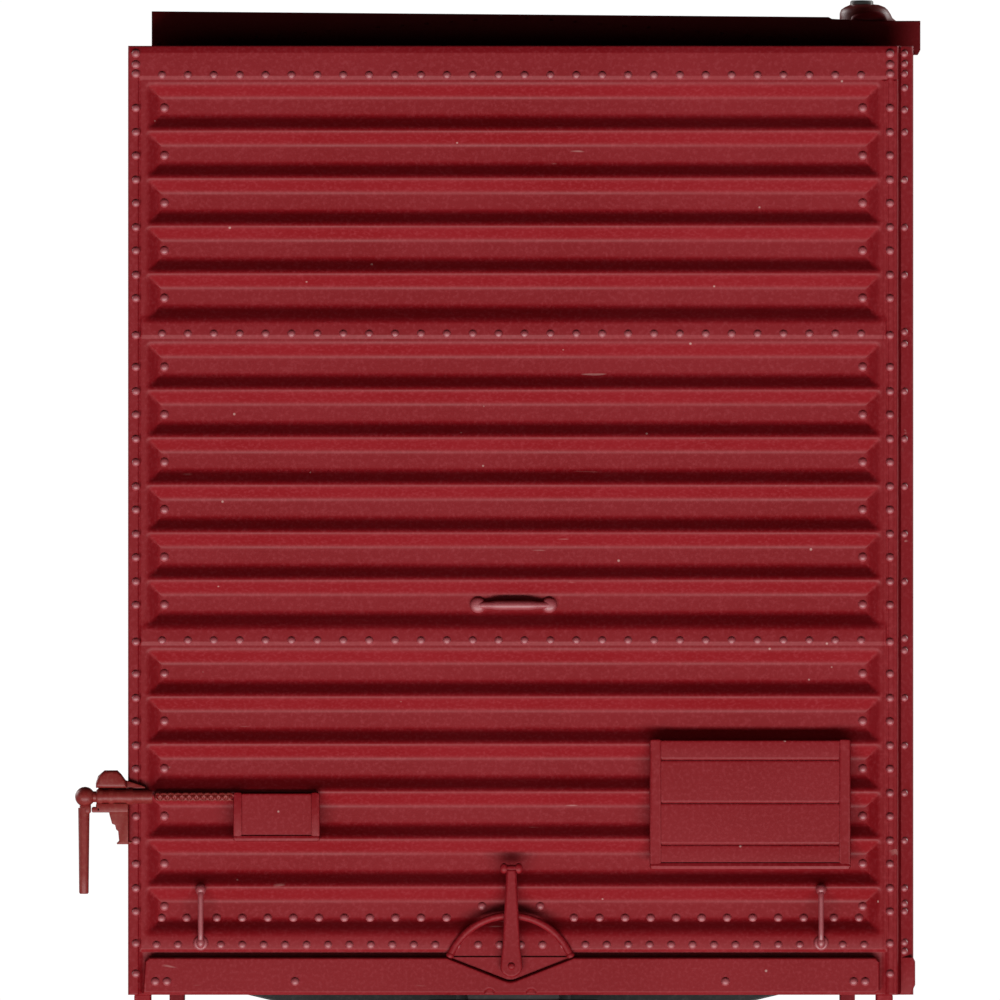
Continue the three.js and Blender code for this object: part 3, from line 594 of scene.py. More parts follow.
def end_grid_lines():
    """Where the panel's mesh has its columns and rows: close together at each edge."""
    into_pocket = [-0.14, -0.1, -0.065, -0.03, 0, 0.03, 0.065, 0.1, 0.14, 0.22, 0.32]
    into_pocket += [0.42, 0.46, 0.5, 0.53, 0.56, 0.59, 0.62, 0.66, 0.7, 0.8]
    columns = [-PANEL_HALF, FLANGE_OUTER]
    for d in (0.01, 0.03, 0.06, 0.09, SIDE_RIM):
        columns += [-PANEL_HALF + d, FLANGE_OUTER - d]
    columns += [PANEL_HALF + d for d in (-0.1, -0.08, -0.05, -0.02, 0.02, 0.06, 0.1, 0.15)]
    rows = [SILL, TOP]
    rows += [TOP - LIP + d for d in (-0.03, 0, 0.03)]
    rows += [TOP - d for d in (0.002, 0.01, 0.025, 0.045, TOP_RIM)]
    rows += [SILL + d for d in (0.01, 0.02, 0.04, FOOT_RIM, 0.1)]
    for sign in (-1, 1):
        columns += [sign * (STRIP_INNER + d) for d in (-0.1, -0.025, 0, 0.025, 0.055, 0.08, 0.105)]
        columns += [sign * (POCKET_HALF - d) for d in into_pocket]
        columns += [VEE_X + sign * (VEE_HALF - d) for d in (0, 0.1)]
    columns += [LEFT_CREASE + d for d in (-0.09, -0.06, -0.03, 0, 0.03, 0.06)]
    columns += [RIGHT_BEADS[0][0] + d for d in (-0.12, -0.08, -0.04, 0, 0.04)]
    columns += [RIGHT_BEADS[1][0] + d for d in (-0.16, -0.12, -0.08, -0.04, 0, 0.04, 0.08)]
    columns += list(np.linspace(-15.5, 15.5, 32))
    for top in POCKETS:
        rows += [top - d for d in into_pocket]
        rows += [top - POCKET_HEIGHT + d for d in into_pocket]
        rows += [top - POCKET_HEIGHT / 2]
    for group in GROUPS:
        rows += [group[-1] - POCKET_HEIGHT + d for d in (-0.22, -0.15, 0.15)]
    for edge in LAP_EDGES:
        rows += [edge + d for d in (-0.04, -0.02, 0, 0.02, 0.05, 0.08, 0.11, 0.138, 0.158, 0.178, 0.2)]
    rows += [LAP_EDGES[0] - d for d in (0.05, 0.1)]
    rows += [SILL + d for d in (0.6, 1.2)]
    rows += [SILL + GROOVE_TOP + d for d in (0.04, 0.015, -0.015, -0.04, -0.08, -0.115, -0.14, -0.17)]
    return merged(columns), merged(rows)


def end_shell(build):
    """The pressed panel: a fine relief in front, plain sides and back."""
    columns, rows = end_grid_lines()
    x, z = np.meshgrid(columns, rows)
    y = RIDGES + end_surface(x, z)
    wide, tall = len(columns), len(rows)
    front = [(x[j, i], y[j, i], z[j, i]) for j in range(tall) for i in range(wide)]
    faces = [
        (j * wide + i, j * wide + i + 1, (j + 1) * wide + i + 1, (j + 1) * wide + i)
        for j in range(tall - 1)
        for i in range(wide - 1)
    ]
    border = list(range(wide))
    border += [j * wide + wide - 1 for j in range(1, tall)]
    border += [(tall - 1) * wide + i for i in range(wide - 2, -1, -1)]
    border += [j * wide for j in range(tall - 2, 0, -1)]
    start = len(front)
    back = [(front[i][0], BACK, front[i][2]) for i in border]
    count = len(border)
    for k in range(count):
        n = (k + 1) % count
        faces.append((border[n], border[k], start + k, start + n))
    faces.append(tuple(start + k for k in range(count)))
    build.add(front + back, faces)


def around(x, z, radius, angles):
    """Points (x, z) on a circle seen from the front."""
    return [(x + radius * math.cos(angle), z + radius * math.sin(angle)) for angle in angles]


def inset(outline, distance):
    """A polygon, drawn anticlockwise, with every side moved inwards."""
    moved = []
    count = len(outline)
    for i in range(count):
        before, here, after = (Vector(outline[k % count]) for k in (i - 1, i, i + 1))
        first = (here - before).normalized()
        second = (after - here).normalized()
        inward_1, inward_2 = Vector((-first.y, first.x)), Vector((-second.y, second.x))
        half = (inward_1 + inward_2) / 2
        moved.append(here + half * (distance / max(half.length_squared, 0.2)))
    return moved


def plate(build, outline, face, back, bevel):
    """A flat plate seen from the front, drawn anticlockwise in (x, z), with a rounded front edge."""
    rings = [[(x, back, z) for x, z in outline]]
    for angle in (0, 30, 60, 90):
        turn = math.radians(angle)
        reach = bevel * (1 - math.cos(turn))
        y = face + bevel * (1 - math.sin(turn))
        rings.append([(p[0], y, p[1]) for p in inset(outline, reach)])
    loft(build, rings)


def vee_edge(gap):
    """From the right shoulder of the V down round its tip to the left shoulder; gap widens it."""
    radius = TIP_RADIUS + gap
    half = VEE_HALF + gap
    shoulder = SILL_PLATE_TOP - PIVOT_RISE
    tangent = math.atan2(shoulder, half) - math.acos(radius / math.hypot(half, shoulder))
    pivot_z = SILL + PIVOT_RISE
    tip = around(VEE_X, pivot_z, radius, np.linspace(tangent, -math.pi - tangent, 9))
    return [(VEE_X + half, pivot_z + shoulder), *tip, (VEE_X - half, pivot_z + shoulder)]


def sill_plate(build):
    """The plate across the foot of an end, notched for the lever's V plate and for two screws below."""
    top = SILL + SILL_PLATE_TOP
    low = SILL + 0.05
    corner = 0.2
    screw = 0.19
    left, right = SILL_PLATE_LEFT, SILL_PLATE_RIGHT
    outline = [(left - 0.08, low)]
    for x in (VEE_X - 0.94, VEE_X + 0.94):
        outline += around(x, low, screw, np.linspace(math.pi, 0, 9))
    outline += [(right - 0.2, low), (right, low + 0.15), (right, top - corner), (right - corner, top)]
    outline += vee_edge(0.05)
    outline += [(left + corner, top), (left, top - corner)]
    plate(build, outline, RIDGES - SILL_RISE, RIDGES + 0.16, 0.14)


def flange_foot(build):
    """The thicker foot of the corner flange, with its corners cut off."""
    left, right = PANEL_HALF + 0.06, FLANGE_OUTER + 0.07
    outline = [(left, SILL + 0.02), (right - 0.2, SILL + 0.02), (right, SILL + 0.45), (right, SILL + 1.5)]
    outline += [(right - 0.1, SILL + 1.7), (left, SILL + 1.7)]
    plate(build, outline, RIDGES + FLANGE_BACK, BACK - 0.3, 0.07)


def surface_y(x, z):
    """Where the face of the panel lies at one point."""
    return RIDGES + float(end_surface(np.array([[x]]), np.array([[z]]))[0, 0])


RIVET = 0.19
RIVET_LIFT = 0.125
OUT = (0, -1, 0)
FLANGE_COLUMN = 17.58  # middle of the rivets down the flange
POCKET_RIVET = 15.72  # and of those at the ends of the pockets


def end_rivets(build, has_lever):
    """Every rivet head of an end panel."""

    def rivet(x, z, size=1.0):
        under_shaft = x < CHAIN_START and abs(z - SILL - CRANK_RISE) < 2 * CRANK_SHAFT
        if not under_shaft:
            dome(build, (x, surface_y(x, z), z), OUT, RIVET * size, RIVET_LIFT * size)

    def plate_rivet(x, z, size=1.0):
        dome(build, (x, RIDGES - SILL_RISE, z), OUT, RIVET * size, RIVET_LIFT * size)

    row_middle, row_half = -0.09, 15.73
    for x in np.linspace(row_middle - row_half, row_middle + row_half, 28):
        for edge, rise in zip(LAP_EDGES, (0.19, 0.21, 0.21)):
            rivet(x, edge + rise)
    floor_row = SILL + 3.44
    spread = [2.87 + i * 1.149 for i in range(10)] + [14.57, 15.7]
    if not has_lever:
        spread += [0.6, 1.72]
    for offset in spread:
        rivet(VEE_X - offset, floor_row, 1.05)
        rivet(VEE_X + offset, floor_row, 1.05)
    if has_lever:
        rivet(-1.42, floor_row + 0.54)
        rivet(1.2, floor_row + 0.54)
    low_row = SILL + 2.24
    for i in range(34):
        rivet(-16.07 + i * 0.965, low_row)
    for column in (-17.0, 16.95):
        for drop in (0.37, 0.86, 1.28):
            rivet(column, TOP - drop, 1.05)
        for group in GROUPS:
            for top in group:
                if top != group[0]:
                    rivet(column, top - 0.02)
                rivet(column, top - RIB_PITCH / 2)
        for edge in LAP_EDGES[1:]:
            rivet(column, edge + 0.15)
        rivet(column, POCKETS[-1] - POCKET_HEIGHT - 0.5)
        rivet(column, SILL + 0.95)
    for sign in (-1, 1):
        for top in POCKETS[:-1]:
            rivet(sign * POCKET_RIVET, top - 1.06, 1.1)
        rivet(sign * POCKET_RIVET, POCKETS[-1] - 0.84, 1.1)
        for x in (15.97, 15.45, 9.68):
            plate_rivet(VEE_X + sign * x, SILL + 0.6, 1.05)
    for drop in (0.37, 0.82, 1.27, 1.91, 2.9):
        rivet(FLANGE_COLUMN, TOP - drop, 0.9)
    for top in POCKETS[1:]:
        rivet(FLANGE_COLUMN, top - 0.02, 0.9)
    for edge in LAP_EDGES[1:]:
        rivet(FLANGE_COLUMN, edge + 0.3, 0.9)
    for z in (SILL + 4.1, SILL + 3.75, SILL + 2.35, SILL + 1.95):
        rivet(FLANGE_COLUMN, z, 0.9)


def build_ends():
    """Both ends from the same drawing: pressing, sill plate with flange foot, and rivets."""
    for name, turned in ENDS:
        panel = Build()
        end_shell(panel)
        node = f"end_panel_{name}"
        panel.make(f"end_{name}_pressing", "maroon_plastic", "car_body", turned, 60, [node], weighted=False)
        foot = Build()
        sill_plate(foot)
        flange_foot(foot)
        foot.make(f"end_{name}_sill_plate", "maroon_plastic", "car_body", turned, 30)
        heads = Build()
        end_rivets(heads, has_lever=not turned)
        # The rivet heads take the lighter maroon, whose colour paints highlights on them.
        heads.make(f"end_{name}_rivets", "maroon_plastic", "car_body", turned, 70, look=PAINTED_HIGHLIGHT_MAROON)


# ------------------------ fittings on the ends


def framed_board(name, node, plank_joints, post, ledge, turned=False):
    """Planks in a metal frame that is open at the top."""
    low, high = drawn_box(node, turned)
    board = Build()
    face = low.y + 0.15
    plank_face = face + 0.1
    left, right = low.x + post * 0.75, high.x - post * 0.75
    edges = [low.z + ledge * 0.7, *plank_joints, high.z - 0.04]
    for bottom, top in zip(edges, edges[1:]):
        slab(board, (left, plank_face, bottom + 0.01), (right, high.y - 0.01, top - 0.01), 0.12)
    backing_low = (left + 0.05, plank_face + 0.08, edges[0] + 0.1)
    slab(board, backing_low, (right - 0.05, high.y - 0.02, edges[-1] - 0.1), 0.01)
    for x0, x1 in ((low.x, low.x + post), (high.x - post, high.x)):
        slab(board, (x0, face + 0.03, low.z + ledge * 0.5), (x1, high.y, high.z), 0.13)
    slab(board, (low.x, face, low.z), (high.x, high.y + 0.01, low.z + ledge), 0.17)
    return board.make(name, "maroon_plastic", "car_body", turned, 40, [node])


def tack_boards():
    """The large boards of three planks, and the small routing board of one."""
    joints = [SILL + h for h in (6.77, 8.64, 10.58)]
    framed_board("tack_board_a_planks", "tack_board_a", joints, 0.54, 0.36)
    framed_board("tack_board_b_planks", "tack_board_b", joints, 0.54, 0.36, True)
    framed_board("routing_board_planks", "routing_board", [], 0.42, 0.3)


def middle_grab():
    """A short bar bent back at each end into a round foot."""
    low, high = mm_box("middle_grab")
    z = (low.z + high.z) / 2
    foot_y = high.y
    bar_y = foot_y - 0.32
    eye = 1.6
    grab = Build()
    knee = 0.82
    path = [(-eye, foot_y - 0.1, z), (-knee - 0.2, bar_y + 0.06, z), (-knee, bar_y, z)]
    path += [(x, bar_y, z) for x in np.linspace(-knee + 0.15, knee - 0.15, 6)]
    path += [(knee, bar_y, z), (knee + 0.2, bar_y + 0.06, z), (eye, foot_y - 0.1, z)]
    radii = [0.15, 0.17, 0.2] + [0.21] * 6 + [0.2, 0.17, 0.15]
    tube(grab, path, radii, 14)
    foot = [(0, 0), (0.35, 0), (0.35, 0.1), (0.27, 0.2), (0.13, 0.25), (0, 0.25)]
    for side in (-1, 1):
        turned_shape(grab, foot, (side * eye, foot_y, z), OUT, 20)
    node = "middle_grab"
    # The lighter maroon paints highlights on the grab.
    grab.make(f"{node}_bar", "maroon_plastic", "car_body", smooth=50, replaces=[node], look=PAINTED_HIGHLIGHT_MAROON)


def corner_grabs():
    """Upright bars with a bulb at the top and a round foot below."""
    for hand in ("left", "right"):
        node = f"corner_grab_{hand}"
        low, high = mm_box(node)
        x = (low.x + high.x) / 2
        face = high.y - 0.32
        bar_y = face + 0.1
        grab = Build()
        path = [(x, high.y, high.z - 0.26), (x, bar_y + 0.08, high.z - 0.3), (x, bar_y, high.z - 0.5)]
        path += [(x, bar_y, z) for z in np.linspace(high.z - 0.7, low.z + 0.75, 6)]
        path += [(x, bar_y + 0.03, low.z + 0.55), (x, bar_y + 0.12, low.z + 0.35), (x, high.y, low.z + 0.3)]
        tube(grab, path, 0.125, 12)
        ellipsoid(grab, (x, high.y, high.z - 0.26), (0.24, 0.32, 0.27))
        foot = [(0, -0.3), (0.33, -0.3), (0.33, 0.06), (0.26, 0.13), (0, 0.13)]
        turned_shape(grab, foot, (x, RIDGES, low.z + 0.3), OUT, 24)
        ellipsoid(grab, (x, high.y, low.z + 0.34), (0.21, 0.3, 0.3))
        # The lighter maroon paints highlights on the grabs.
        grab.make(f"{node}_bar", "maroon_plastic", "car_body", smooth=50, replaces=[node], look=PAINTED_HIGHLIGHT_MAROON)


def lever_and_quadrant():
    """A half-round arc over a V-shaped plate, and the tapered lever with its boss, pin and cross bar."""
    back = mm_box("lever_quadrant")[1].y
    arc_radius = 2.94
    arc_z = SILL + 0.63
    quadrant = Build()
    sweep = np.linspace(math.pi / 2 - 1.17, math.pi / 2 + 1.17, 49)
    path = [(x, back, z) for x, z in around(VEE_X, arc_z, arc_radius, sweep)]
    tube(quadrant, path, 0.17, 14)
    for point in (path[0], path[-1]):
        ellipsoid(quadrant, point, (0.19, 0.2, 0.19))
    plate(quadrant, vee_edge(0)[::-1], RIDGES - 0.1, RIDGES + 0.05, 0.05)
    node = "lever_quadrant"
    quadrant.make(f"{node}_arc", "maroon_plastic", "car_body", smooth=50, replaces=[node])

    node = "uncoupling_lever"
    low, high = mm_box(node)
    x = (low.x + high.x) / 2
    pivot_z = SILL + PIVOT_RISE
    stem_back = RIDGES - 0.19
    face = stem_back - 0.28
    bar_z = SILL + 5.66
    lever = Build()
    outline = around(x, pivot_z, 0.5, np.linspace(math.pi, 2 * math.pi, 15))
    outline += [(x + 0.4, pivot_z + 0.9), (x + 0.23, bar_z), (x - 0.23, bar_z), (x - 0.4, pivot_z + 0.9)]
    plate(lever, outline, face, stem_back, 0.12)
    dome(lever, (x, face, pivot_z), OUT, 0.17, 0.12, 16, 4)
    turned_shape(lever, [(0, 0), (0.14, 0), (0.14, 0.2), (0, 0.2)], (x, RIDGES - 0.04, pivot_z), OUT, 16)
    bar_y = RIDGES - 0.24
    bar = [(x - 0.36, bar_y, bar_z), (x, bar_y, bar_z + 0.02), (x + 0.36, bar_y, bar_z)]
    tube(lever, bar, [0.16, 0.19, 0.16], 16)
    for side in (-1, 1):
        ellipsoid(lever, (x + side * 0.33, bar_y, bar_z + 0.04), (0.19, 0.19, 0.24))
    lever.make(f"{node}_bar", "maroon_plastic", BODY_OF[node], smooth=50, replaces=[node])


def chain():
    """Oval links, each turned a quarter from the last."""
    low, high = mm_box("crank_chain")
    y = (low.y + high.y) / 2
    z = (low.z + high.z) / 2 - 0.06
    links = 21
    wire = 0.06
    pitch = (high.x - low.x - 0.5) / (links - 1)
    half_long = pitch * 0.6 + wire
    half_wide = 0.12
    build = Build()
    for k in range(links):
        x = low.x + 0.25 + k * pitch
        slant = math.radians(55) * (1 if k % 2 else -1)
        path = []
        for i in range(16):
            turn = 2 * math.pi * i / 16
            along, wide = half_long * math.cos(turn), half_wide * math.sin(turn)
            lift = 0.05 * math.cos(2 * turn)
            across_x = along * math.cos(slant) - wide * math.sin(slant)
            up = along * math.sin(slant) + wide * math.cos(slant)
            path.append((x + across_x, y + lift, z + up))
        tube(build, path, wire, 8, closed=True)
    build.make("crank_chain_links", "brown_plastic", "car_body", smooth=60, replaces=["crank_chain"])


def crank_bracket(build, knob_x, y, z, back):
    """Lump above the shaft, barrel and sleeve round it, shoe and toothed web below."""
    edge = -PANEL_HALF + 0.02
    outer = knob_x + 0.49
    lump = [(edge - 0.06, z + 0.4), (edge - 0.12, z + 0.72), (edge - 0.32, z + 1.0), (edge - 0.5, z + 1.18)]
    lump += [(outer + 0.38, z + 1.18), (outer + 0.1, z + 0.94), (outer, z + 0.62), (outer, z + 0.4)]
    plate(build, lump, y - 0.4, back, 0.16)
    wedge = [(-0.1, 0.36), (0.8, 0.38), (0.7, 0.48), (-0.1, 0.74)]
    plate(build, [(edge + dx, z + dz) for dx, dz in wedge], y, RIDGES + 0.1, 0.05)
    slab(build, (outer, y - 0.22, z - 0.71), (edge, back, z - 0.28), 0.08)
    slab(build, (knob_x + 0.3, y - 0.22, z - 0.71), (outer + 0.2, back, z - 0.46), 0.06)
    slab(build, (outer + 0.1, y + 0.3, z - 0.6), (edge, back, z + 0.7), 0.03)
    teeth = [(-0.9, -0.55), (-0.84, -0.85), (-0.73, -1.22), (-0.6, -1.27), (-0.55, -1.47), (-0.46, -1.55)]
    teeth += [(-0.42, -1.98), (-0.53, -2.08), (-0.5, -2.14)]
    web = [(edge + dx, z + dz) for dx, dz in teeth] + [(edge, z - 2.14), (edge, z - 0.5)]
    plate(build, web, y - 0.12, back, 0.06)
    ellipsoid(build, (edge - 0.02, RIDGES - STRIP_RISE + 0.02, z - 2.06), (0.26, 0.1, 0.08))
    bore = CRANK_SHAFT + 0.015
    barrel = [(bore, 0), (0.3, 0), (0.36, 0.08), (0.36, 0.22), (0.31, 0.3), (0.31, 0.52), (0.36, 0.6)]
    barrel += [(0.36, 0.74), (0.31, 0.82), (0.31, 1.3), (0.36, 1.4), (0.36, 1.62), (0.31, 1.68)]
    barrel += [(0.31, 2.44), (0.28, 2.52), (bore, 2.52), (bore, 0)]
    turned_shape(build, barrel, (outer + 0.02, y, z), (1, 0, 0), 28)


def cranks():
    """A knob with a hanging handle on the end of a shaft, and the bracket that carries it."""
    for name, turned in ENDS:
        low, high = drawn_box(f"crank_handle_{name}", turned)
        y = (low.y + high.y) / 2
        z = SILL + CRANK_RISE
        knob_x = low.x + CRANK_KNOB
        crank = Build()
        ellipsoid(crank, (knob_x, y, z), (CRANK_KNOB, CRANK_KNOB, CRANK_KNOB), 28)
        reach = high.x - knob_x
        shaft = [(0, 0), (CRANK_SHAFT, 0), (CRANK_SHAFT, reach - 0.05)]
        shaft += [(CRANK_SHAFT - 0.05, reach), (0, reach)]
        turned_shape(crank, shaft, (knob_x, y, z), (1, 0, 0), 20)
        slab(crank, (knob_x - 0.24, y - 0.24, z - 0.76), (knob_x + 0.27, y + 0.24, z - 0.3), 0.1)
        grip = [z - 0.5, z - 1.2, z - 2.4, z - 3.4, low.z + 0.06, low.z]
        widths = [0.26, 0.25, 0.235, 0.225, 0.215, 0.17]
        tube(crank, [(knob_x - 0.05, y, h) for h in grip], widths, 16)
        node = f"crank_handle_{name}"
        crank.make(f"{node}_rod", "brown_plastic", BODY_OF[node], turned, 50, [node])
        bracket = Build()
        crank_bracket(bracket, knob_x, y, z, drawn_box(f"crank_bracket_{name}", turned)[1].y)
        node = f"crank_bracket_{name}"
        bracket.make(f"{node}_casting", "brown_plastic", "car_body", turned, 40, [node])


def brake_wheel():
    """Rim, dished spokes and hub, on the shaft that enters the housing."""
    low, high = drawn_box("brake_wheel", True)
    x, z = (low.x + high.x) / 2, (low.z + high.z) / 2
    rim_wire = 0.19
    rim_y = low.y + 0.3
    radius = (high.x - low.x) / 2 - rim_wire
    spokes = 5
    wheel = Build()

    def spoke_point(angle, out, forward=0):
        return (x + radius * out * math.cos(angle), rim_y - forward, z + radius * out * math.sin(angle))

    circle = [spoke_point(angle, 1) for angle in np.linspace(0, 2 * math.pi, 65)[:-1]]
    tube(wheel, circle, rim_wire, 12, closed=True)
    for k in range(spokes):
        angle = math.pi / 2 + k * 2 * math.pi / spokes
        path = []
        for out in np.linspace(0.12, 1, 8):
            dish = 0.132 * math.sin(math.pi * min(out * 1.1, 1))
            path.append(spoke_point(angle, out, dish))
        tube(wheel, path, 0.13, 10)
    hub = [(0, -0.28), (0.2, -0.28), (0.3, -0.2), (0.34, -0.12), (0.6, -0.1), (0.66, 0), (0.6, 0.25)]
    hub += [(0.3, 0.3), (0.3, high.y - rim_y), (0, high.y - rim_y)]
    turned_shape(wheel, hub, (x, rim_y, z), (0, 1, 0), 32)
    wheel.make("brake_wheel_casting", "maroon_plastic", "brake_wheel", True, 50, ["brake_wheel"])


def roof_channels():
    """The cross channels that close the roof, a step lower at the right, where they turn down a little."""
    for name, turned in ENDS:
        node = f"roof_channel_{name}"
        low, high = drawn_box(node, turned)
        eaves = PANEL_HIGH.z
        underside = eaves - 0.13
        tip = high.x - 0.29  # the end of the channel turns down from here
        outline = [(low.x, underside), (tip, underside), (tip, low.z), (high.x - 0.1, low.z)]
        outline += [(high.x, low.z + 0.2), (high.x, eaves + 1.21), (16.0, eaves + 1.21)]
        outline += [(14.35, eaves + 1.3), (14.2, eaves + 1.38), (low.x, eaves + 1.64)]
        channel = Build()
        plate(channel, outline, low.y, high.y, 0.05)
        # The channel takes the darker maroon, whose colour paints shade on it.
        channel.make(f"{node}_bar", SLOT_OF[node], "car_body", turned, 40, [node], look=ROOF_PAINTED_SHADE_MAROON)


def roof_caps():
    """Round caps on the roof channels: a body with a domed top, a visor in front and a short stem."""
    for name, turned in ENDS:
        node = f"roof_cap_{name}"
        low, high = drawn_box(node, turned)
        centre = (low + high) / 2
        base = low.z
        radius = (high.x - low.x) / 2
        right_side = [(0, radius), (0.08, radius), (0.2, 1.12), (0.4, 1.02), (0.58, 0.9), (0.7, 0.76)]
        right_side += [(0.8, 0.5), (0.83, 0.2)]
        rings = []
        for rise, right in right_side:
            left = radius - 3.84 * max(rise - 0.45, 0) ** 2
            reach = (left + right) / 2
            x = centre.x + (right - left) / 2
            rings.append([
                (x + reach * math.cos(angle), centre.y + reach * math.sin(angle), base + rise)
                for angle in np.linspace(0, 2 * math.pi, 49)[:-1]
            ])
        cap = Build()
        loft(cap, rings)
        cap.make(f"{node}_body", "brown_plastic", "car_body", turned, 35, [node])
        stem = Build()
        profile = [(0, 0.7), (0.53, 0.7), (0.53, 0.93), (0.46, 1.0), (0, 1.01)]
        turned_shape(stem, profile, (centre.x - 0.27, centre.y, base), (0, 0, 1), 28)
        stem.make(f"{node}_stem", "steel", "car_body", turned, 35)
        visor = Build()
        front = centre.y - radius
        ellipsoid(visor, (centre.x + 0.06, front + 0.32, base + 0.12), (0.84, 0.31, 0.42), 32)
        visor.make(f"{node}_visor", "maroon_plastic", "car_body", turned, 60)


# ------------------------ sides and roof

SIDE_FACE = 16.5
SIDE_LOW, SIDE_HIGH = mm_box("side_panel_left")
DOORWAY_HALF = 17.5
SEAM_SPACING = 9.0


def side_rivets():
    """Two columns of rivets at each sheet seam, and rows along the rails."""
    seams = [sign * (DOORWAY_HALF + 0.45 + i * SEAM_SPACING) for sign in (-1, 1) for i in range(8)]
    rail_low = SIDE_LOW.z + 0.7
    rail_high = SIDE_HIGH.z - 0.52
    for hand, turned in SIDES:
        heads = Build()
        for y in seams:
            for z in np.arange(rail_low + 1.35, rail_high - 0.7, 1.02):
                dome(heads, (-SIDE_FACE - 0.12, y, z), (-1, 0, 0), 0.12, 0.08, 8, 2)
        for y in np.arange(-87.6, 87.7, 1.1):
            for z in (rail_low - 0.3, rail_low + 0.32, rail_high):
                dome(heads, (-SIDE_FACE - 0.4, y, z), (-1, 0, 0), 0.12, 0.08, 8, 2)
        heads.make(f"side_rivets_{hand}", "maroon_plastic", "car_body", turned, 70)


def roof_rivets():
    """A row of rivets along each side of every rib of the roof."""
    low, high = mm_box("roof")
    half = high.x - 0.4
    fall = 1.25 / high.x
    normal = Vector((fall, 0, 1))
    heads = Build()
    for y in np.linspace(low.y + 1.5, high.y - 1.5, 12):
        for x in np.linspace(0.6, half, 15):
            for side in (-1, 1):
                for dy in (-0.33, 0.33):
                    place = (side * x, y + dy, high.z - fall * x)
                    dome(heads, place, (side * normal.x, 0, 1), 0.11, 0.07, 8, 2)
    # These rivets take the darker maroon, whose colour paints shade on them.
    heads.make("roof_rivets", "maroon_plastic", "car_body", smooth=70, look=ROOF_PAINTED_SHADE_MAROON)


def door_fittings():
    """Locking bar, handle, hangers and corner rivets of the sliding doors."""
    for hand, turned in SIDES:
        low, high = drawn_box(f"door_{hand}", turned)
        face = low.x
        edge = high.y - 0.5
        fittings = Build()
        slab(fittings, (face, edge - 0.28, low.z + 8), (face + 0.3, edge + 0.28, low.z + 16), 0.08)
        bar = [(face + 0.02, edge, low.z + rise) for rise in (8.8, 11, 13, 15.2)]
        tube(fittings, bar, 0.14, 10)
        for rise in (2, 6.5, 19, 24, 29, 34):
            z = low.z + rise
            slab(fittings, (face, edge - 0.3, z), (face + 0.2, edge + 0.3, z + 0.5), 0.05)
        spacing = 1.15
        along = np.arange(low.y + 0.5, high.y, spacing)
        places = [(y, z) for y in along for z in (low.z + 0.5, high.z - 0.5)]
        places += [(low.y + 0.5, z) for z in np.arange(low.z + 1.5, high.z - 1, spacing)]
        for y, z in places:
            dome(fittings, (face, y, z), (-1, 0, 0), 0.11, 0.07, 8, 2)
        fittings.make(f"door_fittings_{hand}", "maroon_plastic", f"door_{hand}", turned, 50)


def ladder_bolts():
    """Bolt heads down both rails of each ladder."""
    for hand, outward in (("left", -1), ("right", 1)):
        for end in "ab":
            low, high = mm_box(f"ladder_{hand}_{end}")
            face = low.x if outward < 0 else high.x
            bolts = Build()
            for y in (low.y + 0.21, high.y - 0.21):
                for rung in range(5):
                    dome(bolts, (face, y, low.z + 1.2 + rung * 3), (outward, 0, 0), 0.12, 0.07, 8, 2)
            bolts.make(f"ladder_bolts_{hand}_{end}", "maroon_plastic", "car_body", smooth=70)


# ------------------------ trucks

TREAD = 4.8  # radius of the wheel's tread
FLANGE = TREAD + 0.64  # and of its flange
COIL_TURNS = 5
COIL_RADIUS = 0.93
COIL_HEIGHT = 2.4


def wheelsets():
    """Turned wheels with a rounded flange and a dished plate, on a tapered axle."""
    for end in "ab":
        for k in "12":
            node = f"wheelset_{end}{k}"
            low, high = mm_box(node)
            centre = (low + high) / 2
            tip = high.x
            inner, outer = 7.25, 10.05
            plate_out, plate_in = outer - 0.75, inner + 0.35
            half = [(0, tip), (0.12, tip - 0.12), (0.6, tip - 0.62), (0.7, tip - 1.4)]
            half += [(0.75, outer + 0.1), (1.28, outer + 0.1), (1.36, outer + 0.02)]
            half += [(1.5, plate_out + 0.1), (1.75, plate_out), (3.6, plate_out + 0.05)]
            half += [(3.85, plate_out + 0.18), (3.95, outer - 0.08), (4.05, outer)]
            half += [(TREAD - 0.13, outer), (TREAD - 0.06, outer - 0.06), (TREAD, inner + 1.3)]
            half += [(TREAD + 0.06, inner + 0.9), (TREAD + 0.22, inner + 0.72)]
            half += [(FLANGE - 0.12, inner + 0.55), (FLANGE - 0.01, inner + 0.4)]
            half += [(FLANGE - 0.01, inner + 0.28), (FLANGE - 0.12, inner + 0.1), (TREAD + 0.3, inner)]
            half += [(4.0, inner), (3.8, plate_in), (1.7, plate_in), (1.5, inner + 0.02)]
            half += [(1.4, inner - 0.1), (1.0, inner - 0.12), (0.95, inner - 0.4), (0.9, 3)]
            profile = half + [(r, -h) for r, h in reversed(half)]
            wheels = Build()
            turned_shape(wheels, profile, centre, (1, 0, 0), 64)
            wheels.make(f"{node}_turned", "blackened_metal", node, smooth=32, replaces=[node])


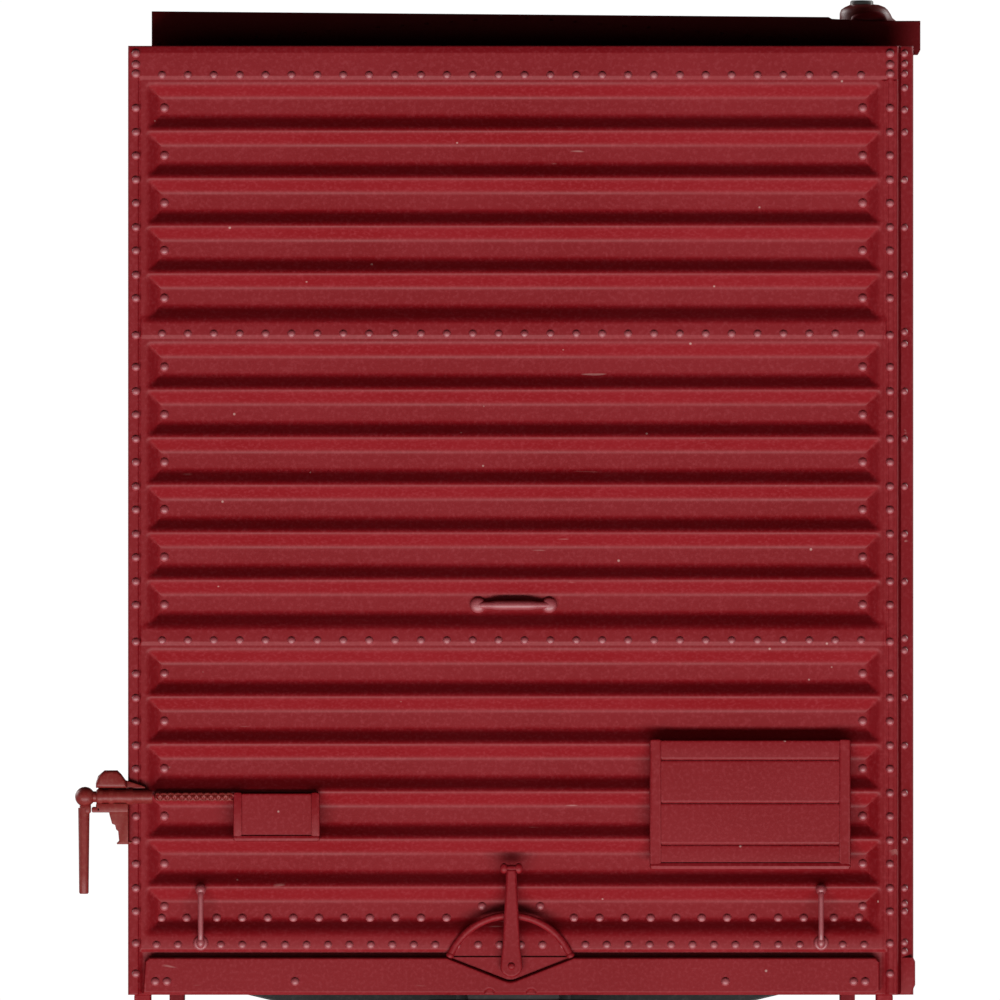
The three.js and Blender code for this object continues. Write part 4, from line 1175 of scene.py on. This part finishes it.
def truck_detail():
    """Coil springs, journal box lids and bolts on the truck side frames."""
    for end in "ab":
        low, high = mm_box(f"truck_frame_{end}")
        middle = (low.y + high.y) / 2
        detail = Build()
        for side in (-1, 1):
            for dy in (-1.2, 1.2):
                coil = []
                for i in range(COIL_TURNS * 16 + 1):
                    angle = 2 * math.pi * i / 16
                    x = side * 12.7 + COIL_RADIUS * math.cos(angle)
                    y = middle + dy + COIL_RADIUS * math.sin(angle)
                    coil.append((x, y, 2.95 + COIL_HEIGHT * i / (COIL_TURNS * 16)))
                tube(detail, coil, 0.17, 6)
            for dy in (-9.65, 9.65):
                box_face = side * 14.15
                y = middle + dy
                x0, x1 = sorted((box_face, box_face - side * 0.18))
                slab(detail, (x0, y - 1.05, 4.3), (x1, y + 1.05, 6.6), 0.08)
                slab(detail, (x0, y - 0.4, 6.5), (x1, y + 0.4, 6.95), 0.08)
                bolt_y = y - math.copysign(1.7, dy)
                for z in (3.95, 7.0):
                    dome(detail, (side * 13.6, bolt_y, z), (side, 0, 0), 0.22, 0.14, 10, 2)
            for dy, z in ((-3.3, 8.4), (3.3, 8.4), (-3.3, 2.6), (3.3, 2.6), (0, 8.7), (0, 2.3)):
                dome(detail, (side * 13.6, middle + dy, z), (side, 0, 0), 0.24, 0.15, 10, 2)
        detail.make(f"truck_detail_{end}", "black_plastic", f"truck_{end}", smooth=50)


# ------------------------ the other CAD nodes

BEVELS = {
    "roof": 0.07,
    "brake_housing": 0.2,
    "brake_platform": 0.06,
    "floor": 0.08,
    "underframe": 0.08,
    "weight": 0.08,
    "brake_cylinder": 0.1,
    "air_reservoir": 0.1,
    "control_valve": 0.15,
}
SIDE_BEVELS = {"side_panel": 0.06, "door": 0.07, "door_track": 0.06}
END_BEVELS = {"kingpin": 0.05, "truck_frame": 0.14, "coupler_box": 0.15, "coupler": 0.16, "knuckle": 0.16}
for hand, _ in SIDES:
    BEVELS.update({f"{kind}_{hand}": bevel for kind, bevel in SIDE_BEVELS.items()})
    BEVELS.update({f"{kind}_{hand}_{end}": 0.09 for kind in ("ladder", "sill_step") for end in "ab"})
for end, _ in ENDS:
    BEVELS.update({f"{kind}_{end}": bevel for kind, bevel in END_BEVELS.items()})


build_ends()
tack_boards()
middle_grab()
corner_grabs()
lever_and_quadrant()
cranks()
chain()
brake_wheel()
roof_channels()
roof_caps()
side_rivets()
roof_rivets()
door_fittings()
ladder_bolts()
wheelsets()
truck_detail()
# The roof takes the darker maroon, whose colour paints shade on it.
for node_name, bevel in BEVELS.items():
    rounded_copy(node_name, bevel, ROOF_PAINTED_SHADE_MAROON if node_name == "roof" else None)


# ------------------------ stage, light and camera


def pale_floor():
    """A round sheet of paper that casts no shadow, so the low key light comes through it."""
    bpy.ops.mesh.primitive_circle_add(vertices=96, radius=0.75, fill_type="NGON", location=(0, 0.02, 0))
    floor = bpy.context.object
    floor.name = "studio_floor"
    paper = Surface("floor_paper")
    fibres = paper.ramp(paper.noise(900, 4), [(0.3, (0.78, 0.78, 0.77)), (0.7, (0.82, 0.82, 0.81))])
    paper.fill(paper.shader, Base_Color=fibres, Roughness=0.8)
    floor.data.materials.append(paper.material)
    floor.visible_shadow = False


def area_light(name, place, target, size, watts):
    """A soft rectangular light, size (across, up), turned towards its target."""
    data = bpy.data.lights.new(name, "AREA")
    data.shape = "RECTANGLE"
    data.size, data.size_y = size
    data.energy = watts
    light = bpy.data.objects.new(name, data)
    light.location = place
    light.rotation_mode = "QUATERNION"
    light.rotation_quaternion = (Vector(place) - Vector(target)).to_track_quat("Z", "Y")
    bpy.context.scene.collection.objects.link(light)
    light.visible_camera = False


def studio():
    """A key light low in front of end A, so its shadows run upwards; soft lights behind for the rest."""
    pale_floor()
    end_middle = Vector((0, RIDGES, (SILL + TOP) / 2)) * MM
    away = 1.6
    fall = math.radians(35)
    key_place = end_middle + Vector((0, -away * math.cos(fall), -away * math.sin(fall)))
    area_light("key_from_below", key_place, end_middle, (2.6, 0.25), 38)
    for name, side in (("left_wash", -1), ("right_wash", 1)):
        area_light(name, (side * 1.15, 0.7, 0.6), (0, 0, 0.03), (0.7, 0.7), 14)
    for name in ("coupler_box_a", "coupler_a", "knuckle_a"):
        bpy.data.objects[name + "_finished"].visible_shadow = False
    world = bpy.data.worlds.new("studio")
    bpy.context.scene.world = world
    world.use_nodes = True
    nodes, links = world.node_tree.nodes, world.node_tree.links
    ambient = nodes["Background"]
    ambient.inputs["Color"].default_value = (1, 1, 1, 1)
    ambient.inputs["Strength"].default_value = 0.006
    backdrop = nodes.new("ShaderNodeBackground")
    backdrop.inputs["Color"].default_value = (1, 1, 1, 1)
    backdrop.inputs["Strength"].default_value = 1.05
    rays = nodes.new("ShaderNodeLightPath")
    choose = nodes.new("ShaderNodeMixShader")
    links.new(rays.outputs["Is Camera Ray"], choose.inputs["Fac"])
    links.new(ambient.outputs["Background"], choose.inputs[1])
    links.new(backdrop.outputs["Background"], choose.inputs[2])
    links.new(choose.outputs["Shader"], nodes["World Output"].inputs["Surface"])
    bpy.context.scene.view_settings.view_transform = "Standard"


def camera():
    """Square on to end A from far off, framing the end with its crank and the roof's edge."""
    frame_width = 45.0
    distance = 1600.0
    centre_x = -0.61
    centre_z = SILL + 22.27
    data = bpy.data.cameras.new("camera")
    data.sensor_width = 36
    data.lens = data.sensor_width * distance / frame_width
    data.clip_start = 0.01
    data.clip_end = 20
    eye = bpy.data.objects.new("camera", data)
    eye.location = Vector((centre_x, RIDGES - distance, centre_z)) * MM
    eye.rotation_euler = (math.radians(90), 0, 0)
    bpy.context.scene.collection.objects.link(eye)
    bpy.context.scene.camera = eye


studio()
camera()
